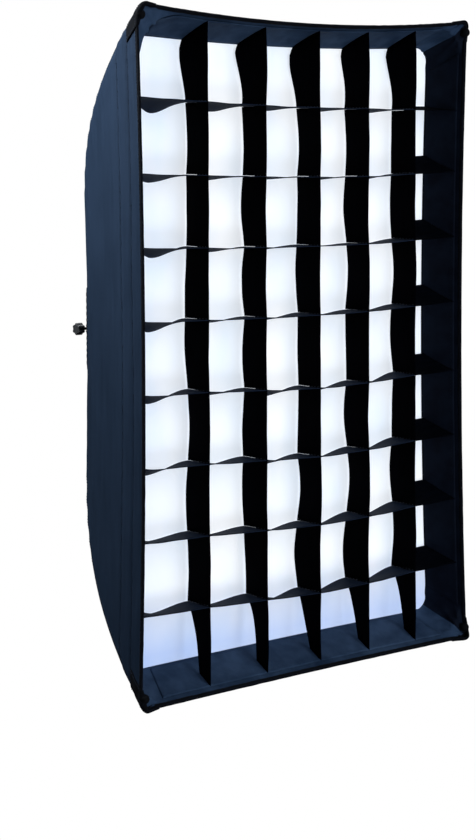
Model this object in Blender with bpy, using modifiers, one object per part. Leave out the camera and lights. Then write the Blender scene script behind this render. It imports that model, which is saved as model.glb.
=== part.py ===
"""Strip softbox for a studio flash: a fabric box on four bent rods and a speed ring,
with an inner baffle, a recessed front diffuser and a fabric egg-crate grid.

Units are metres. +Z is up and the lit face looks along -Y. The origin is the centre of
the ring's rear seat, where the flash head locks on.
"""

import math

import bmesh
import bpy
from mathutils import Matrix, Vector

# Shell
FRONT_HALF_W = 0.300
FRONT_HALF_H = 0.450
REAR_HALF = 0.078
SHELL_DEPTH = 0.400
SHELL_THICK = 0.0012
TAPER = 0.59          # straight share of the taper
CURL = 3.3            # power of the curved share, which the bent rods give
BOW = {"left": 0.0085, "right": 0.0115, "top": 0.0125, "bottom": 0.002}
GAP = 0.0004          # between neighbours that touch

# Speed ring, along Y from the seat at 0
RING_REAR_Y = -0.001
THROUGH = 0.020                   # length of a cutter that goes right through a thin piece
RING_FRONT_Y = -0.020
RING_RADIUS = 0.074
INSERT_RADIUS = 0.056
INSERT_FLANGE_RADIUS = 0.060
OPENING_RADIUS = 0.049
SHOULDER_Y = -0.0100
PLATE_THICK = 0.003
EAR_RADIUS = 0.0135
EDGE_CHAMFER = 0.0015
LUG_COUNT = 3
LUG_ANGLE = math.radians(26)
LUG_ROOT = (0.0498, 0.0528)       # inner and outer radius of a lug's neck
LUG_RADIUS = 0.0575
LUG_SPAN = (-0.002, 0.0055, 0.009)  # along Y: root, underside of the hook, end
PLATE_RADII = (0.052, 0.070)       # inner and outer radius of the retaining ring
SCREW_COUNT = 3
SCREW_CIRCLE = 0.0655
SCREW_RADIUS = 0.0015
HEAD_RADIUS = 0.0033
HEAD_TOP = 0.0022                 # radius of the head's flat top
HEAD_HEIGHT = 0.0022
HEAD_SIDE = 0.0012                # height of the head's straight side
SCREW_HOLE = 0.0019
PLATE_HOLE = 0.0021
SCREW_LENGTH = 0.0085
SCREW_HOLE_DEPTH = 0.012
EAR_RELIEF = 0.003                # clearance of the retaining ring round a socket's foot

# Lock screws
LOCK_Y = -0.0055
LOCK_STUD = 0.0022
LOCK_HOLE = 0.0026
LOCK_HOLE_DEPTH = 0.026
LOCK_GAP = 0.0007           # from the stud's end to the insert
KNOB_X = 0.0905
KNOB_RADIUS = 0.0082
KNOB_LOBE = 0.0009
KNOB_LOBES = 6
KNOB_LENGTH = 0.011
KNOB_EDGE = 0.0007
COLLAR_SLOT = 0.0045

# Fabric between the ring and the shell
COLLAR_FRONT_Y = -0.0275
COLLAR_MIDDLE_Y = -0.018
COLLAR_REAR_Y = -0.004
COLLAR_CORNER = 0.024
COLLAR_SWELL = 0.0005
COLLAR_THICK = 0.0014
FRONT_Y = -0.028 - SHELL_DEPTH

# Rods
ROD_RADIUS = 0.0025
ROD_IN = 0.0065             # from the rod's axis to the panels' outer faces
ROD_IN_REAR = 0.0151        # added towards the ring
ROD_TIP_OUT = 0.0010        # less of it along X at the front edge
ROD_TIP_DOWN = 0.0095       # more of it along Z at the front edge
ROD_TIP_SPAN = 0.06
ROD_BEND_END = 0.372        # depth where the bent part meets the straight root
FERRULE_LENGTH = 0.034
SOCKET_LENGTH = 0.030
SOCKET_RADIUS = 0.0065
SOCKET_BORE = 0.0044
SOCKET_FLOOR = 0.004
SOCKET_AHEAD = 0.0125       # where the socket's rear end stands, ahead of the ring
FOOT_RADIUS = 0.0075
FOOT_AHEAD = 0.0105
EAR_AHEAD = 0.0065
TIP_RADIUS = 0.0065
TIP_ARC = math.radians(155)
TIP_NECK = 0.0042
TIP_BORE_DEPTH = 0.0070
ROD_IN_TIP = 0.0035         # where the rod's front end stands behind the ball's centre
TIP_DEPTH = -0.002
POCKET = {"start": 0.0068, "end": 0.034, "reach": 0.028, "radius": 0.012, "thick": 0.0016}
BINDING = {"cut": 0.034, "ahead": (0.0010, 0.0024), "width": 0.0040}

# Layers against the lip's inner wall: distance in from the outer face
HOOK_IN = 0.0017
LOOP_IN = 0.0033
BAND_IN = 0.0021
STRIP_IN = 0.0036
TAPE_THICK = 0.0011
LOOP_AHEAD = 0.0008
BAND_THICK = 0.0009
DIFFUSER_IN = 0.0020
CORNER_CUT = 0.018          # diffuser and tapes have their corners cut off, to pass the rods
BAND_CUT = 0.040            # the grid's border stops this far from the corners

# Diffuser, baffle and grid, as depths behind the front edge
DIFFUSER_DEPTH = 0.0590
DIFFUSER_THICK = 0.0010
TAPE_START = 0.0610
TAPE_END = 0.0850
BAFFLE_DEPTH = 0.200
BAFFLE_HALF_W = 0.155
BAFFLE_HALF_H = 0.245
BAFFLE_CUT = 0.030
STRAP_WIDTH = 0.012
STRAP_TAPER = 0.6
STRAP_THICK = 0.0012
BAFFLE_THICK = 0.0010
STRAP_START = 0.0062        # off the baffle's cut corner
STRAP_CLEAR = 0.0015        # off the rod
GRID_START = 0.008
GRID_END = 0.0555
GRID_MID = 0.0315
GRID_FOOT = 0.031           # back edge of the uprights at the bottom lip
FOOT_BELOW = 0.004          # where that edge starts to narrow, below the lowest cross strip
GRID_COLUMNS = 5
GRID_ROWS = 8
GRID_PITCH_X = 0.0960
GRID_PITCH_Z = 0.0945
GRID_SHIFT_X = 0.0140
COLUMN_DRIFT = (0.0, 0.0040, 0.0055, 0.0015, -0.0025)   # how far each upright hangs off its place
GRID_SHIFT_Z = -0.0085
STRIP_THICK = 0.0010
SLOT_WIDTH = 0.0018

CORNERS = {"tl": (-1, 1), "tr": (1, 1), "bl": (-1, -1), "br": (1, -1)}
SIDES = ("left", "right", "top", "bottom")
REARWARD = Matrix.Rotation(math.radians(-90), 4, "X")   # local +Z becomes world +Y


# ---------------------------------------------------------------- shape of the shell

def share(depth):
    """How much of the front's extra size is left at this depth: 1 at the front, 0 at the rear."""
    s = depth / SHELL_DEPTH
    return 1 - TAPER * s - (1 - TAPER) * max(s, 0) ** CURL


def half_width(depth):
    return REAR_HALF + (FRONT_HALF_W - REAR_HALF) * share(depth)


def half_height(depth):
    return REAR_HALF + (FRONT_HALF_H - REAR_HALF) * share(depth)


def slant(half, depth):
    """Ratio of a distance along X or Z to the distance square to the slanting wall."""
    step = 0.001
    return math.hypot(1, (half(depth - step) - half(depth + step)) / (2 * step))


def bow(side, u, depth):
    """How far the fabric of a side pulls in between its corners; u runs from -1 to 1."""
    return BOW[side] * (1 - u * u) * math.cos(math.pi / 2 * depth / SHELL_DEPTH)


def wall_reach(side, across, depth, inside):
    """Distance from the Y axis to a side's wall, where across is the place along that side."""
    if side in ("left", "right"):
        reach, length = half_width, half_height
    else:
        reach, length = half_height, half_width
    u = max(-1, min(1, across / length(depth)))
    return reach(depth) - bow(side, u, depth) - inside * slant(reach, depth)


def wall_point(side, across, depth, inside=0.0):
    reach = wall_reach(side, across, depth, inside)
    x, z = {"left": (-reach, across), "right": (reach, across),
            "top": (across, reach), "bottom": (across, -reach)}[side]
    return Vector((x, FRONT_Y + depth, z))


# ---------------------------------------------------------------- building blocks

def clear_scene():
    for old in list(bpy.data.objects):
        bpy.data.objects.remove(old)


def collection(name):
    made = bpy.data.collections.new(name)
    bpy.context.scene.collection.children.link(made)
    return made


def material(name, colour, roughness, metallic=0.0):
    made = bpy.data.materials.new(name)
    made.use_nodes = True
    shader = made.node_tree.nodes["Principled BSDF"]
    shader.inputs["Base Color"].default_value = (*colour, 1)
    shader.inputs["Roughness"].default_value = roughness
    shader.inputs["Metallic"].default_value = metallic
    return made


def place(data, name, look, into=None, matrix=None):
    """Put a mesh or curve in the scene under its name, with its material."""
    made = bpy.data.objects.new(name, data)
    (into or PARTS).objects.link(made)
    if look:
        data.materials.append(look)
    if matrix is not None:
        made.matrix_world = matrix
    return made


def attach(child, parent):
    bpy.context.view_layer.update()
    child.parent = parent
    child.matrix_parent_inverse = parent.matrix_world.inverted()


def hinge(name, at=(0, 0, 0)):
    made = bpy.data.objects.new(name, None)
    made.location = at
    made.empty_display_size = 0.03
    PARTS.objects.link(made)
    return made


def mesh_of(bm, name):
    mesh = bpy.data.meshes.new(name)
    bm.to_mesh(mesh)
    bm.free()
    return mesh


def as_mesh(source, name, into=None, look=None):
    """The evaluated shape of an object as a plain mesh object; the source is removed."""
    bpy.context.view_layer.update()
    evaluated = source.evaluated_get(bpy.context.evaluated_depsgraph_get())
    mesh = bpy.data.meshes.new_from_object(evaluated)
    bm = bmesh.new()
    bm.from_mesh(mesh)
    bmesh.ops.remove_doubles(bm, verts=bm.verts, dist=0.00001)
    bmesh.ops.recalc_face_normals(bm, faces=bm.faces)
    bm.to_mesh(mesh)
    bm.free()
    mesh.materials.clear()
    made = place(mesh, name, look, into, source.matrix_world.copy())
    bpy.data.objects.remove(source)
    return made


def join(target, tool, operation):
    """Boolean with a tool that stays in the cutters' collection."""
    tool.hide_render = True
    tool.display_type = "WIRE"
    step = target.modifiers.new(operation.lower(), "BOOLEAN")
    step.operation = operation
    step.solver = "EXACT"
    step.object = tool


def thicken(target, thickness):
    """Solidify away from the side that the faces look to."""
    step = target.modifiers.new("thickness", "SOLIDIFY")
    step.thickness = thickness
    step.offset = -1


def turned(name, profile, look, segments=40, into=None, matrix=REARWARD, closed=True):
    """Turn a profile of (radius, height) points about local Z."""
    mesh = bpy.data.meshes.new(name)
    count = len(profile)
    edges = [(i, (i + 1) % count) for i in range(count if closed else count - 1)]
    mesh.from_pydata([(radius, 0, height) for radius, height in profile], edges, [])
    made = place(mesh, name, look, into, matrix)
    step = made.modifiers.new("turn", "SCREW")
    step.axis = "Z"
    step.steps = segments
    step.render_steps = segments
    step.use_merge_vertices = True
    step.merge_threshold = 0.00001
    step.use_smooth_shade = True
    return made


def rod_block(name, radius, depth, matrix, look=None, into=None, segments=24):
    """A cylinder centred on the matrix, along its local Z."""
    bm = bmesh.new()
    bmesh.ops.create_cone(bm, cap_ends=True, segments=segments, radius1=radius,
                          radius2=radius, depth=depth)
    return place(mesh_of(bm, name), name, look, into, matrix)


def flat_outline(name, points, thickness, look, matrix, into=None):
    """A flat plate from an outline in the local XY plane, half its thickness to each side."""
    curve = bpy.data.curves.new(name, "CURVE")
    curve.dimensions = "2D"
    curve.fill_mode = "BOTH"
    curve.extrude = thickness / 2
    line = curve.splines.new("POLY")
    line.points.add(len(points) - 1)
    for point, (x, y) in zip(line.points, points):
        point.co = (x, y, 0, 1)
    line.use_cyclic_u = True
    plate = place(curve, name + "_outline", None, into, matrix)
    return as_mesh(plate, name, into, look)


def tube_along(name, points, radius, look, into=None):
    """A round bar along points, with closed ends."""
    curve = bpy.data.curves.new(name, "CURVE")
    curve.dimensions = "3D"
    curve.bevel_depth = radius
    curve.bevel_resolution = 2
    curve.use_fill_caps = True
    line = curve.splines.new("POLY")
    line.points.add(len(points) - 1)
    for point, co in zip(line.points, points):
        point.co = (*co, 1)
    route = place(curve, name + "_route", None, into)
    return as_mesh(route, name, into, look)


def surface(name, columns, rows, shape, look, outward, into=None):
    """A grid of columns x rows bent to shape(u, v), u and v from 0 to 1, facing outward(point)."""
    bm = bmesh.new()
    bmesh.ops.create_grid(bm, x_segments=columns, y_segments=rows, size=0.5)
    for vert in bm.verts:
        vert.co = shape(vert.co.x + 0.5, vert.co.y + 0.5)
    bm.normal_update()
    middle = bm.faces[:][len(bm.faces) // 2]
    if middle.normal.dot(outward(middle.calc_center_median())) < 0:
        bmesh.ops.reverse_faces(bm, faces=bm.faces)
    return place(mesh_of(bm, name), name, look, into)


def loop_band(name, loops, look, into=None):
    """A closed band through loops of equal count, facing away from the Y axis."""
    bm = bmesh.new()
    rows = [[bm.verts.new(co) for co in loop] for loop in loops]
    for first, second in zip(rows, rows[1:]):
        for i in range(len(first)):
            j = (i + 1) % len(first)
            bm.faces.new((first[i], first[j], second[j], second[i]))
    bm.normal_update()
    face = next(iter(bm.faces))
    centre = face.calc_center_median()
    if face.normal.dot(Vector((centre.x, 0, centre.z))) < 0:
        bmesh.ops.reverse_faces(bm, faces=bm.faces)
    return place(mesh_of(bm, name), name, look, into)


# ---------------------------------------------------------------- outlines

def lip_loop(depth, inside, cut=CORNER_CUT, per_side=8):
    """Points round the inside of the lip, with its corners cut off, seen from the front."""
    loop = []
    cut += 0.6 * inside     # keeps the layers apart where they cross the cut corner
    for side, direction in (("bottom", 1), ("right", 1), ("top", -1), ("left", -1)):
        length = half_width(depth) if side in ("bottom", "top") else half_height(depth)
        for i in range(per_side + 1):
            across = direction * (2 * i / per_side - 1) * (length - cut)
            loop.append(wall_point(side, across, depth, inside))
    return loop


def flat_loop(depth, inside, cut=CORNER_CUT):
    return [(point.x, point.z) for point in lip_loop(depth, inside, cut)]


def facing_front(depth):
    """Matrix that stands a flat outline in the XZ plane at a depth."""
    return Matrix.Translation((0, FRONT_Y + depth, 0)) @ Matrix.Rotation(math.radians(90), 4, "X")


def rounded_square(half, radius, per_corner=6):
    """Outline of a square with round corners, as (x, z) points."""
    points = []
    for turn in range(4):
        centre = math.radians(45 + 90 * turn)
        cx = math.copysign(half - radius, math.cos(centre))
        cz = math.copysign(half - radius, math.sin(centre))
        for i in range(per_corner + 1):
            angle = centre + math.radians(90) * (i / per_corner - 0.5)
            points.append((cx + radius * math.cos(angle), cz + radius * math.sin(angle)))
    return points


# ---------------------------------------------------------------- rods

def rod_offsets(depth):
    """How far the rod stands in from the corner seam, along X and along Z."""
    near = max(0.0, 1 - depth / ROD_TIP_SPAN) ** 2
    rear = ROD_IN + ROD_IN_REAR * max(0.0, depth / SHELL_DEPTH) ** 3
    return rear - ROD_TIP_OUT * near, rear + ROD_TIP_DOWN * near


def rod_bend(depth):
    in_x, in_z = rod_offsets(depth)
    return Vector((half_width(depth) - in_x, FRONT_Y + depth, half_height(depth) - in_z))


def rod_root():
    """Start and direction of the straight root, which points back into the socket."""
    start = rod_bend(ROD_BEND_END)
    back = (start - rod_bend(ROD_BEND_END - 0.002)).normalized()
    return start, back


def on_corner(point, corner):
    sx, sz = CORNERS[corner]
    return Vector((sx * point.x, point.y, sz * point.z))


def along(direction, at):
    """Matrix with its local Z along a direction."""
    turn = Vector((0, 0, 1)).rotation_difference(direction).to_matrix().to_4x4()
    return Matrix.Translation(at) @ turn


def socket_centre():
    """Centre of the socket tube, on the rod's straight root."""
    return on_root_line(SOCKET_AHEAD) - rod_root()[1] * SOCKET_LENGTH / 2


def on_root_line(ahead):
    """Point of the root line that lies this far ahead of the ring's front face."""
    start, back = rod_root()
    return start + back * ((RING_FRONT_Y - ahead - start.y) / back.y)


def ear_centre():
    """The ring's ear stands under the rear end of the root line."""
    return on_root_line(EAR_AHEAD)


# ---------------------------------------------------------------- the speed ring

def sector(name, profile, middle, angle, steps=5):
    """A solid stretch of a turned profile, in the tool collection."""
    bm = bmesh.new()
    turn = Matrix.Rotation(middle - angle / 2, 4, "Z")
    verts = [bm.verts.new(turn @ Vector((radius, 0, height))) for radius, height in profile]
    face = bm.faces.new(verts)
    bmesh.ops.spin(bm, geom=[face, *face.edges, *face.verts], cent=(0, 0, 0), axis=(0, 0, 1),
                   angle=angle, steps=steps, use_duplicate=False)
    if not all(len(edge.link_faces) == 2 for edge in bm.edges):
        bmesh.ops.holes_fill(bm, edges=[edge for edge in bm.edges if len(edge.link_faces) == 1])
    bmesh.ops.recalc_face_normals(bm, faces=bm.faces)
    return place(mesh_of(bm, name), name, None, TOOLS, REARWARD)


def bayonet_insert():
    profile = [(INSERT_RADIUS, 0), (INSERT_RADIUS, SHOULDER_Y),
               (INSERT_FLANGE_RADIUS, SHOULDER_Y), (INSERT_FLANGE_RADIUS, RING_FRONT_Y + 0.0003),
               (OPENING_RADIUS, RING_FRONT_Y + 0.0003), (OPENING_RADIUS, 0)]
    insert = turned("bayonet_insert", profile, STEEL)
    inner, neck = LUG_ROOT
    root, hook, end = LUG_SPAN
    lug = [(inner, root), (neck, root), (neck, hook), (LUG_RADIUS, hook), (LUG_RADIUS, end),
           (inner, end)]
    for i in range(LUG_COUNT):
        middle = math.radians(90 + 360 / LUG_COUNT * i)
        join(insert, sector(f"lug_tool_{i + 1}", lug, middle, LUG_ANGLE), "UNION")
    return insert


def ring_body(parent):
    chamfered = RING_RADIUS - EDGE_CHAMFER
    profile = [(chamfered, RING_REAR_Y), (RING_RADIUS, RING_REAR_Y - EDGE_CHAMFER),
               (RING_RADIUS, RING_FRONT_Y + EDGE_CHAMFER), (chamfered, RING_FRONT_Y),
               (INSERT_FLANGE_RADIUS + GAP, RING_FRONT_Y),
               (INSERT_FLANGE_RADIUS + GAP, SHOULDER_Y + GAP),
               (INSERT_RADIUS + GAP, SHOULDER_Y + GAP), (INSERT_RADIUS + GAP, RING_REAR_Y)]
    ring = turned("ring_body", profile, CAST_METAL)
    ear_depth = RING_REAR_Y - 0.001 - RING_FRONT_Y
    for corner in CORNERS:
        centre = on_corner(ear_centre(), corner)
        middle = Vector((centre.x, RING_FRONT_Y + ear_depth / 2, centre.z))
        ear = rod_block(f"ear_tool_{corner}", EAR_RADIUS, ear_depth,
                        Matrix.Translation(middle) @ REARWARD, None, TOOLS)
        join(ring, ear, "UNION")
    for name, sign in (("left", -1), ("right", 1)):
        middle = (INSERT_RADIUS + RING_RADIUS) / 2
        hole = rod_block(f"lock_hole_tool_{name}", LOCK_HOLE, LOCK_HOLE_DEPTH,
                         Matrix.Translation((sign * middle, LOCK_Y, 0))
                         @ Matrix.Rotation(math.radians(90), 4, "Y"), None, TOOLS, 16)
        join(ring, hole, "DIFFERENCE")
    for i in range(SCREW_COUNT):
        hole = rod_block(f"screw_hole_tool_{i + 1}", SCREW_HOLE, SCREW_HOLE_DEPTH,
                         screw_place(i, RING_FRONT_Y + 0.003), None, TOOLS, 12)
        join(ring, hole, "DIFFERENCE")
    attach(ring, parent)
    return ring


def screw_place(i, y):
    angle = math.radians(30 + 360 / SCREW_COUNT * i)
    centre = (SCREW_CIRCLE * math.cos(angle), y, SCREW_CIRCLE * math.sin(angle))
    return Matrix.Translation(centre) @ REARWARD


def retaining_ring(parent):
    front = RING_FRONT_Y - GAP - PLATE_THICK
    back = RING_FRONT_Y - GAP
    inner, outer = PLATE_RADII
    plate = turned("retaining_ring", [(outer, back), (outer, front), (inner, front),
                                      (inner, back)], STEEL)
    for i in range(SCREW_COUNT):
        hole = rod_block(f"plate_hole_tool_{i + 1}", PLATE_HOLE, THROUGH, screw_place(i, front),
                         None, TOOLS, 12)
        join(plate, hole, "DIFFERENCE")
    for corner in CORNERS:
        centre = on_corner(ear_centre(), corner)
        relief = rod_block(f"plate_relief_tool_{corner}", FOOT_RADIUS + EAR_RELIEF, THROUGH,
                           Matrix.Translation((centre.x, front, centre.z)) @ REARWARD,
                           None, TOOLS)
        join(plate, relief, "DIFFERENCE")
    attach(plate, parent)


def ring_screw(i, parent):
    """Pan-head screw through the retaining ring, its head to the front."""
    seat = RING_FRONT_Y - GAP - PLATE_THICK - GAP
    profile = [(0.0, SCREW_LENGTH), (SCREW_RADIUS, SCREW_LENGTH), (SCREW_RADIUS, 0.0),
               (HEAD_RADIUS, 0.0), (HEAD_RADIUS, -HEAD_SIDE), (HEAD_TOP, -HEAD_HEIGHT),
               (0.0, -HEAD_HEIGHT)]
    screw = turned(f"ring_screw_{i + 1}", profile, STEEL, 12, None,
                   screw_place(i, seat), closed=False)
    attach(screw, parent)


def lock_knob(side, sign, parent):
    """Thumb screw that presses on the insert and stops the box from turning."""
    pivot = hinge(f"lock_{side}_axis", (sign * RING_RADIUS, LOCK_Y, 0))
    attach(pivot, parent)
    outward = Matrix.Rotation(math.radians(90 * sign), 4, "Y")
    outline = []
    for i in range(36):
        angle = 2 * math.pi * i / 36
        radius = KNOB_RADIUS + KNOB_LOBE * math.cos(KNOB_LOBES * angle)
        outline.append((radius * math.cos(angle), radius * math.sin(angle)))
    knob = flat_outline(f"lock_knob_{side}", outline, KNOB_LENGTH, PLASTIC,
                        Matrix.Translation((sign * KNOB_X, LOCK_Y, 0)) @ outward)
    edge = knob.modifiers.new("edge", "BEVEL")
    edge.width = KNOB_EDGE
    edge.segments = 1
    edge.limit_method = "ANGLE"
    edge.angle_limit = math.radians(50)
    stud_end = INSERT_RADIUS + LOCK_GAP
    inside_knob = KNOB_X - KNOB_LENGTH / 4
    middle = sign * (inside_knob + stud_end) / 2
    stud = rod_block(f"lock_stud_tool_{side}", LOCK_STUD, inside_knob - stud_end,
                     Matrix.Translation((middle, LOCK_Y, 0)) @ outward, None, TOOLS, 12)
    join(knob, stud, "UNION")
    attach(knob, pivot)


def rod_socket(corner, parent):
    """Tube that takes a rod's ferrule, on a foot that stands on the ring's ear."""
    back = rod_root()[1]
    matrix = along(on_corner(back, corner), on_corner(socket_centre(), corner))
    tube = rod_block(f"rod_socket_{corner}", SOCKET_RADIUS, SOCKET_LENGTH, matrix, STEEL)
    centre = on_corner(on_root_line(FOOT_AHEAD), corner)
    foot_front = RING_FRONT_Y - SOCKET_AHEAD
    foot_back = RING_FRONT_Y - GAP
    foot = rod_block(f"foot_tool_{corner}", FOOT_RADIUS, foot_back - foot_front,
                     Matrix.Translation((centre.x, (foot_front + foot_back) / 2, centre.z))
                     @ REARWARD, None, TOOLS)
    join(tube, foot, "UNION")
    bore_centre = socket_centre() - back * SOCKET_FLOOR
    bore = rod_block(f"bore_tool_{corner}", SOCKET_BORE, SOCKET_LENGTH,
                     along(on_corner(back, corner), on_corner(bore_centre, corner)), None, TOOLS)
    join(tube, bore, "DIFFERENCE")
    attach(tube, parent)


# ---------------------------------------------------------------- rods, tips and pockets

def ferrule_start():
    """Rear end of the ferrule, just off the socket's floor."""
    return socket_centre() + rod_root()[1] * (SOCKET_LENGTH / 2 - SOCKET_FLOOR - GAP)


def spring_rod(corner, parent):
    start = TIP_DEPTH + ROD_IN_TIP
    depths = [start + (ROD_BEND_END - start) * i / 22 for i in range(23)]
    points = [rod_bend(depth) for depth in depths]
    points.append(ferrule_start())
    rod = tube_along(f"rod_{corner}", [on_corner(point, corner) for point in points],
                     ROD_RADIUS, SPRING_STEEL)
    attach(rod, parent)


def rod_ferrule(corner, parent):
    back = rod_root()[1]
    inner = ROD_RADIUS + GAP
    outer = SOCKET_BORE - GAP
    profile = [(outer, 0), (outer, -FERRULE_LENGTH), (inner, -FERRULE_LENGTH), (inner, 0)]
    sleeve = turned(f"rod_ferrule_{corner}", profile, STEEL, 16, None,
                    along(on_corner(back, corner), on_corner(ferrule_start(), corner)))
    attach(sleeve, parent)


def rod_tip(corner, parent):
    """Ball cap over a rod's front end, with a bore for the rod."""
    centre = rod_bend(TIP_DEPTH)
    forward = (rod_bend(TIP_DEPTH) - rod_bend(TIP_DEPTH + 0.006)).normalized()
    bore = ROD_RADIUS + GAP
    ring = [(bore, -TIP_BORE_DEPTH), (bore, 0.0), (0.0, 0.0)]
    ball = []
    for i in range(9):
        angle = math.pi / 2 - TIP_ARC * i / 8
        ball.append((TIP_RADIUS * math.cos(angle), TIP_RADIUS * math.sin(angle)))
    ball[0] = (0.0, TIP_RADIUS)
    neck = [(TIP_NECK, -TIP_BORE_DEPTH)]
    tip = turned(f"rod_tip_{corner}", ball + neck + ring, RUBBER, 16, None,
                 along(on_corner(forward, corner), on_corner(centre, corner)), closed=False)
    attach(tip, parent)


def corner_pocket(corner, parent):
    """Reinforced corner of the lip that holds a rod's front end."""
    reach, radius = POCKET["reach"], POCKET["radius"]

    def shape(u, v):
        depth = POCKET["start"] + (POCKET["end"] - POCKET["start"]) * v
        straight = reach - radius
        arc = radius * math.pi / 2
        run = u * (2 * straight + arc)
        width, height = half_width(depth), half_height(depth)
        if run < straight:
            x, z = width - reach + run, height
        elif run > straight + arc:
            x, z = width, height - radius - (run - straight - arc)
        else:
            angle = math.pi / 2 - (run - straight) / radius
            x = width - radius + radius * math.cos(angle)
            z = height - radius + radius * math.sin(angle)
        return on_corner(Vector((x, FRONT_Y + depth, z)), corner)

    sx, sz = CORNERS[corner]
    patch = surface(f"corner_pocket_{corner}", 16, 3, shape, WEBBING,
                    lambda point: Vector((sx, 0, sz)))
    thicken(patch, POCKET["thick"])
    attach(patch, parent)


# ---------------------------------------------------------------- fabric box

def seam_in(depth):
    """How far the top and bottom panels stop short of the side panels' outer face."""
    return SHELL_THICK * slant(half_width, depth) ** 2 + 2 * GAP


def corner_notch(side, corner):
    """Cutter for the pocket's place in a panel: a block that leans along the shell's corner."""
    sx, sz = CORNERS[corner]
    size = 2 * (POCKET["reach"] + GAP)
    deep = 2 * (POCKET["end"] + GAP)
    lean_x = (half_width(0) - half_width(POCKET["end"])) / POCKET["end"]
    lean_z = (half_height(0) - half_height(POCKET["end"])) / POCKET["end"]
    block = Matrix(((size, -sx * lean_x * deep, 0, sx * FRONT_HALF_W), (0, deep, 0, FRONT_Y),
                    (0, -sz * lean_z * deep, size, sz * FRONT_HALF_H), (0, 0, 0, 1)))
    bm = bmesh.new()
    bmesh.ops.create_cube(bm, size=1, matrix=block)
    return place(mesh_of(bm, "notch"), f"notch_tool_{side}_{corner}", None, TOOLS)


def shell_panel(side, parent):
    upright = side in ("left", "right")

    def shape(u, v):
        depth = SHELL_DEPTH * v
        if upright:
            length = half_height(depth)
        else:
            length = half_width(depth) - seam_in(depth)
        return wall_point(side, (2 * u - 1) * length, depth)

    panel = surface(f"shell_panel_{side}", 6, 16, shape, FABRIC,
                    lambda point: Vector((point.x, 0, 0)) if upright else Vector((0, 0, point.z)))
    thicken(panel, SHELL_THICK)
    for corner, (sx, sz) in CORNERS.items():
        if {"left": sx < 0, "right": sx > 0, "top": sz > 0, "bottom": sz < 0}[side]:
            join(panel, corner_notch(side, corner), "DIFFERENCE")
    attach(panel, parent)


def rear_collar(parent):
    """Elastic hem that closes the fabric round the ring."""
    loops = []
    for y, half in ((COLLAR_FRONT_Y, REAR_HALF), (COLLAR_MIDDLE_Y, REAR_HALF + COLLAR_SWELL),
                    (COLLAR_REAR_Y, REAR_HALF - COLLAR_SWELL)):
        loops.append([Vector((x, y, z)) for x, z in rounded_square(half, COLLAR_CORNER)])
    collar = loop_band("rear_collar", loops, WEBBING)
    thicken(collar, COLLAR_THICK)
    for name, sign in (("left", -1), ("right", 1)):
        slot = rod_block(f"collar_slot_tool_{name}", COLLAR_SLOT, THROUGH,
                         Matrix.Translation((sign * REAR_HALF, LOCK_Y, 0))
                         @ Matrix.Rotation(math.radians(90), 4, "Y"), None, TOOLS, 16)
        join(collar, slot, "DIFFERENCE")
    attach(collar, parent)


def front_binding(parent):
    """Bound edge round the lip, just ahead of the panels."""
    edge = lip_loop(0.0, 0.0002, BINDING["cut"])
    loops = [[point - Vector((0, y, 0)) for point in edge] for y in BINDING["ahead"]]
    binding = loop_band("front_binding", loops, WEBBING)
    thicken(binding, BINDING["width"])
    attach(binding, parent)


def lip_hook_tape(parent):
    loops = [lip_loop(depth, HOOK_IN) for depth in (TAPE_START, TAPE_END)]
    tape = loop_band("lip_hook_tape", loops, WEBBING)
    thicken(tape, TAPE_THICK)
    attach(tape, parent)


# ---------------------------------------------------------------- baffle, diffuser, grid

def inner_baffle(parent):
    cut = BAFFLE_CUT
    w, h = BAFFLE_HALF_W, BAFFLE_HALF_H
    outline = [(w, -h + cut), (w, h - cut), (w - cut, h), (-w + cut, h),
               (-w, h - cut), (-w, -h + cut), (-w + cut, -h), (w - cut, -h)]
    sheet = flat_outline("inner_baffle", outline, BAFFLE_THICK, DIFFUSION,
                         facing_front(BAFFLE_DEPTH))
    attach(sheet, parent)


def baffle_strap(corner, parent):
    """Elastic strap from a cut corner of the baffle out to the rod beside it."""
    sx, sz = CORNERS[corner]
    start = Vector((BAFFLE_HALF_W - BAFFLE_CUT / 2, BAFFLE_HALF_H - BAFFLE_CUT / 2))
    rod = rod_bend(BAFFLE_DEPTH)
    end = Vector((rod.x, rod.z))
    run = (end - start).normalized()
    side = Vector((-run.y, run.x)) * STRAP_WIDTH / 2
    start += run * STRAP_START
    end -= run * (ROD_RADIUS + STRAP_CLEAR)
    outline = [start - side, end - side * STRAP_TAPER, end + side * STRAP_TAPER, start + side]
    strap = flat_outline(f"baffle_strap_{corner}", [(sx * x, sz * y) for x, y in outline],
                         STRAP_THICK, ELASTIC, facing_front(BAFFLE_DEPTH))
    attach(strap, parent)


def front_diffuser(parent):
    sheet = flat_outline("front_diffuser", flat_loop(DIFFUSER_DEPTH, DIFFUSER_IN), DIFFUSER_THICK,
                         DIFFUSION, facing_front(DIFFUSER_DEPTH))
    attach(sheet, parent)


def diffuser_loop_tape(parent):
    loops = [lip_loop(depth, LOOP_IN) for depth in (TAPE_START - LOOP_AHEAD, TAPE_END)]
    tape = loop_band("diffuser_loop_tape", loops, WEBBING)
    thicken(tape, TAPE_THICK)
    attach(tape, parent)


def column_x(i):
    return GRID_SHIFT_X + (i - (GRID_COLUMNS - 1) / 2) * GRID_PITCH_X + COLUMN_DRIFT[i]


def row_z(j):
    return GRID_SHIFT_Z + ((GRID_ROWS - 1) / 2 - j) * GRID_PITCH_Z


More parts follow.
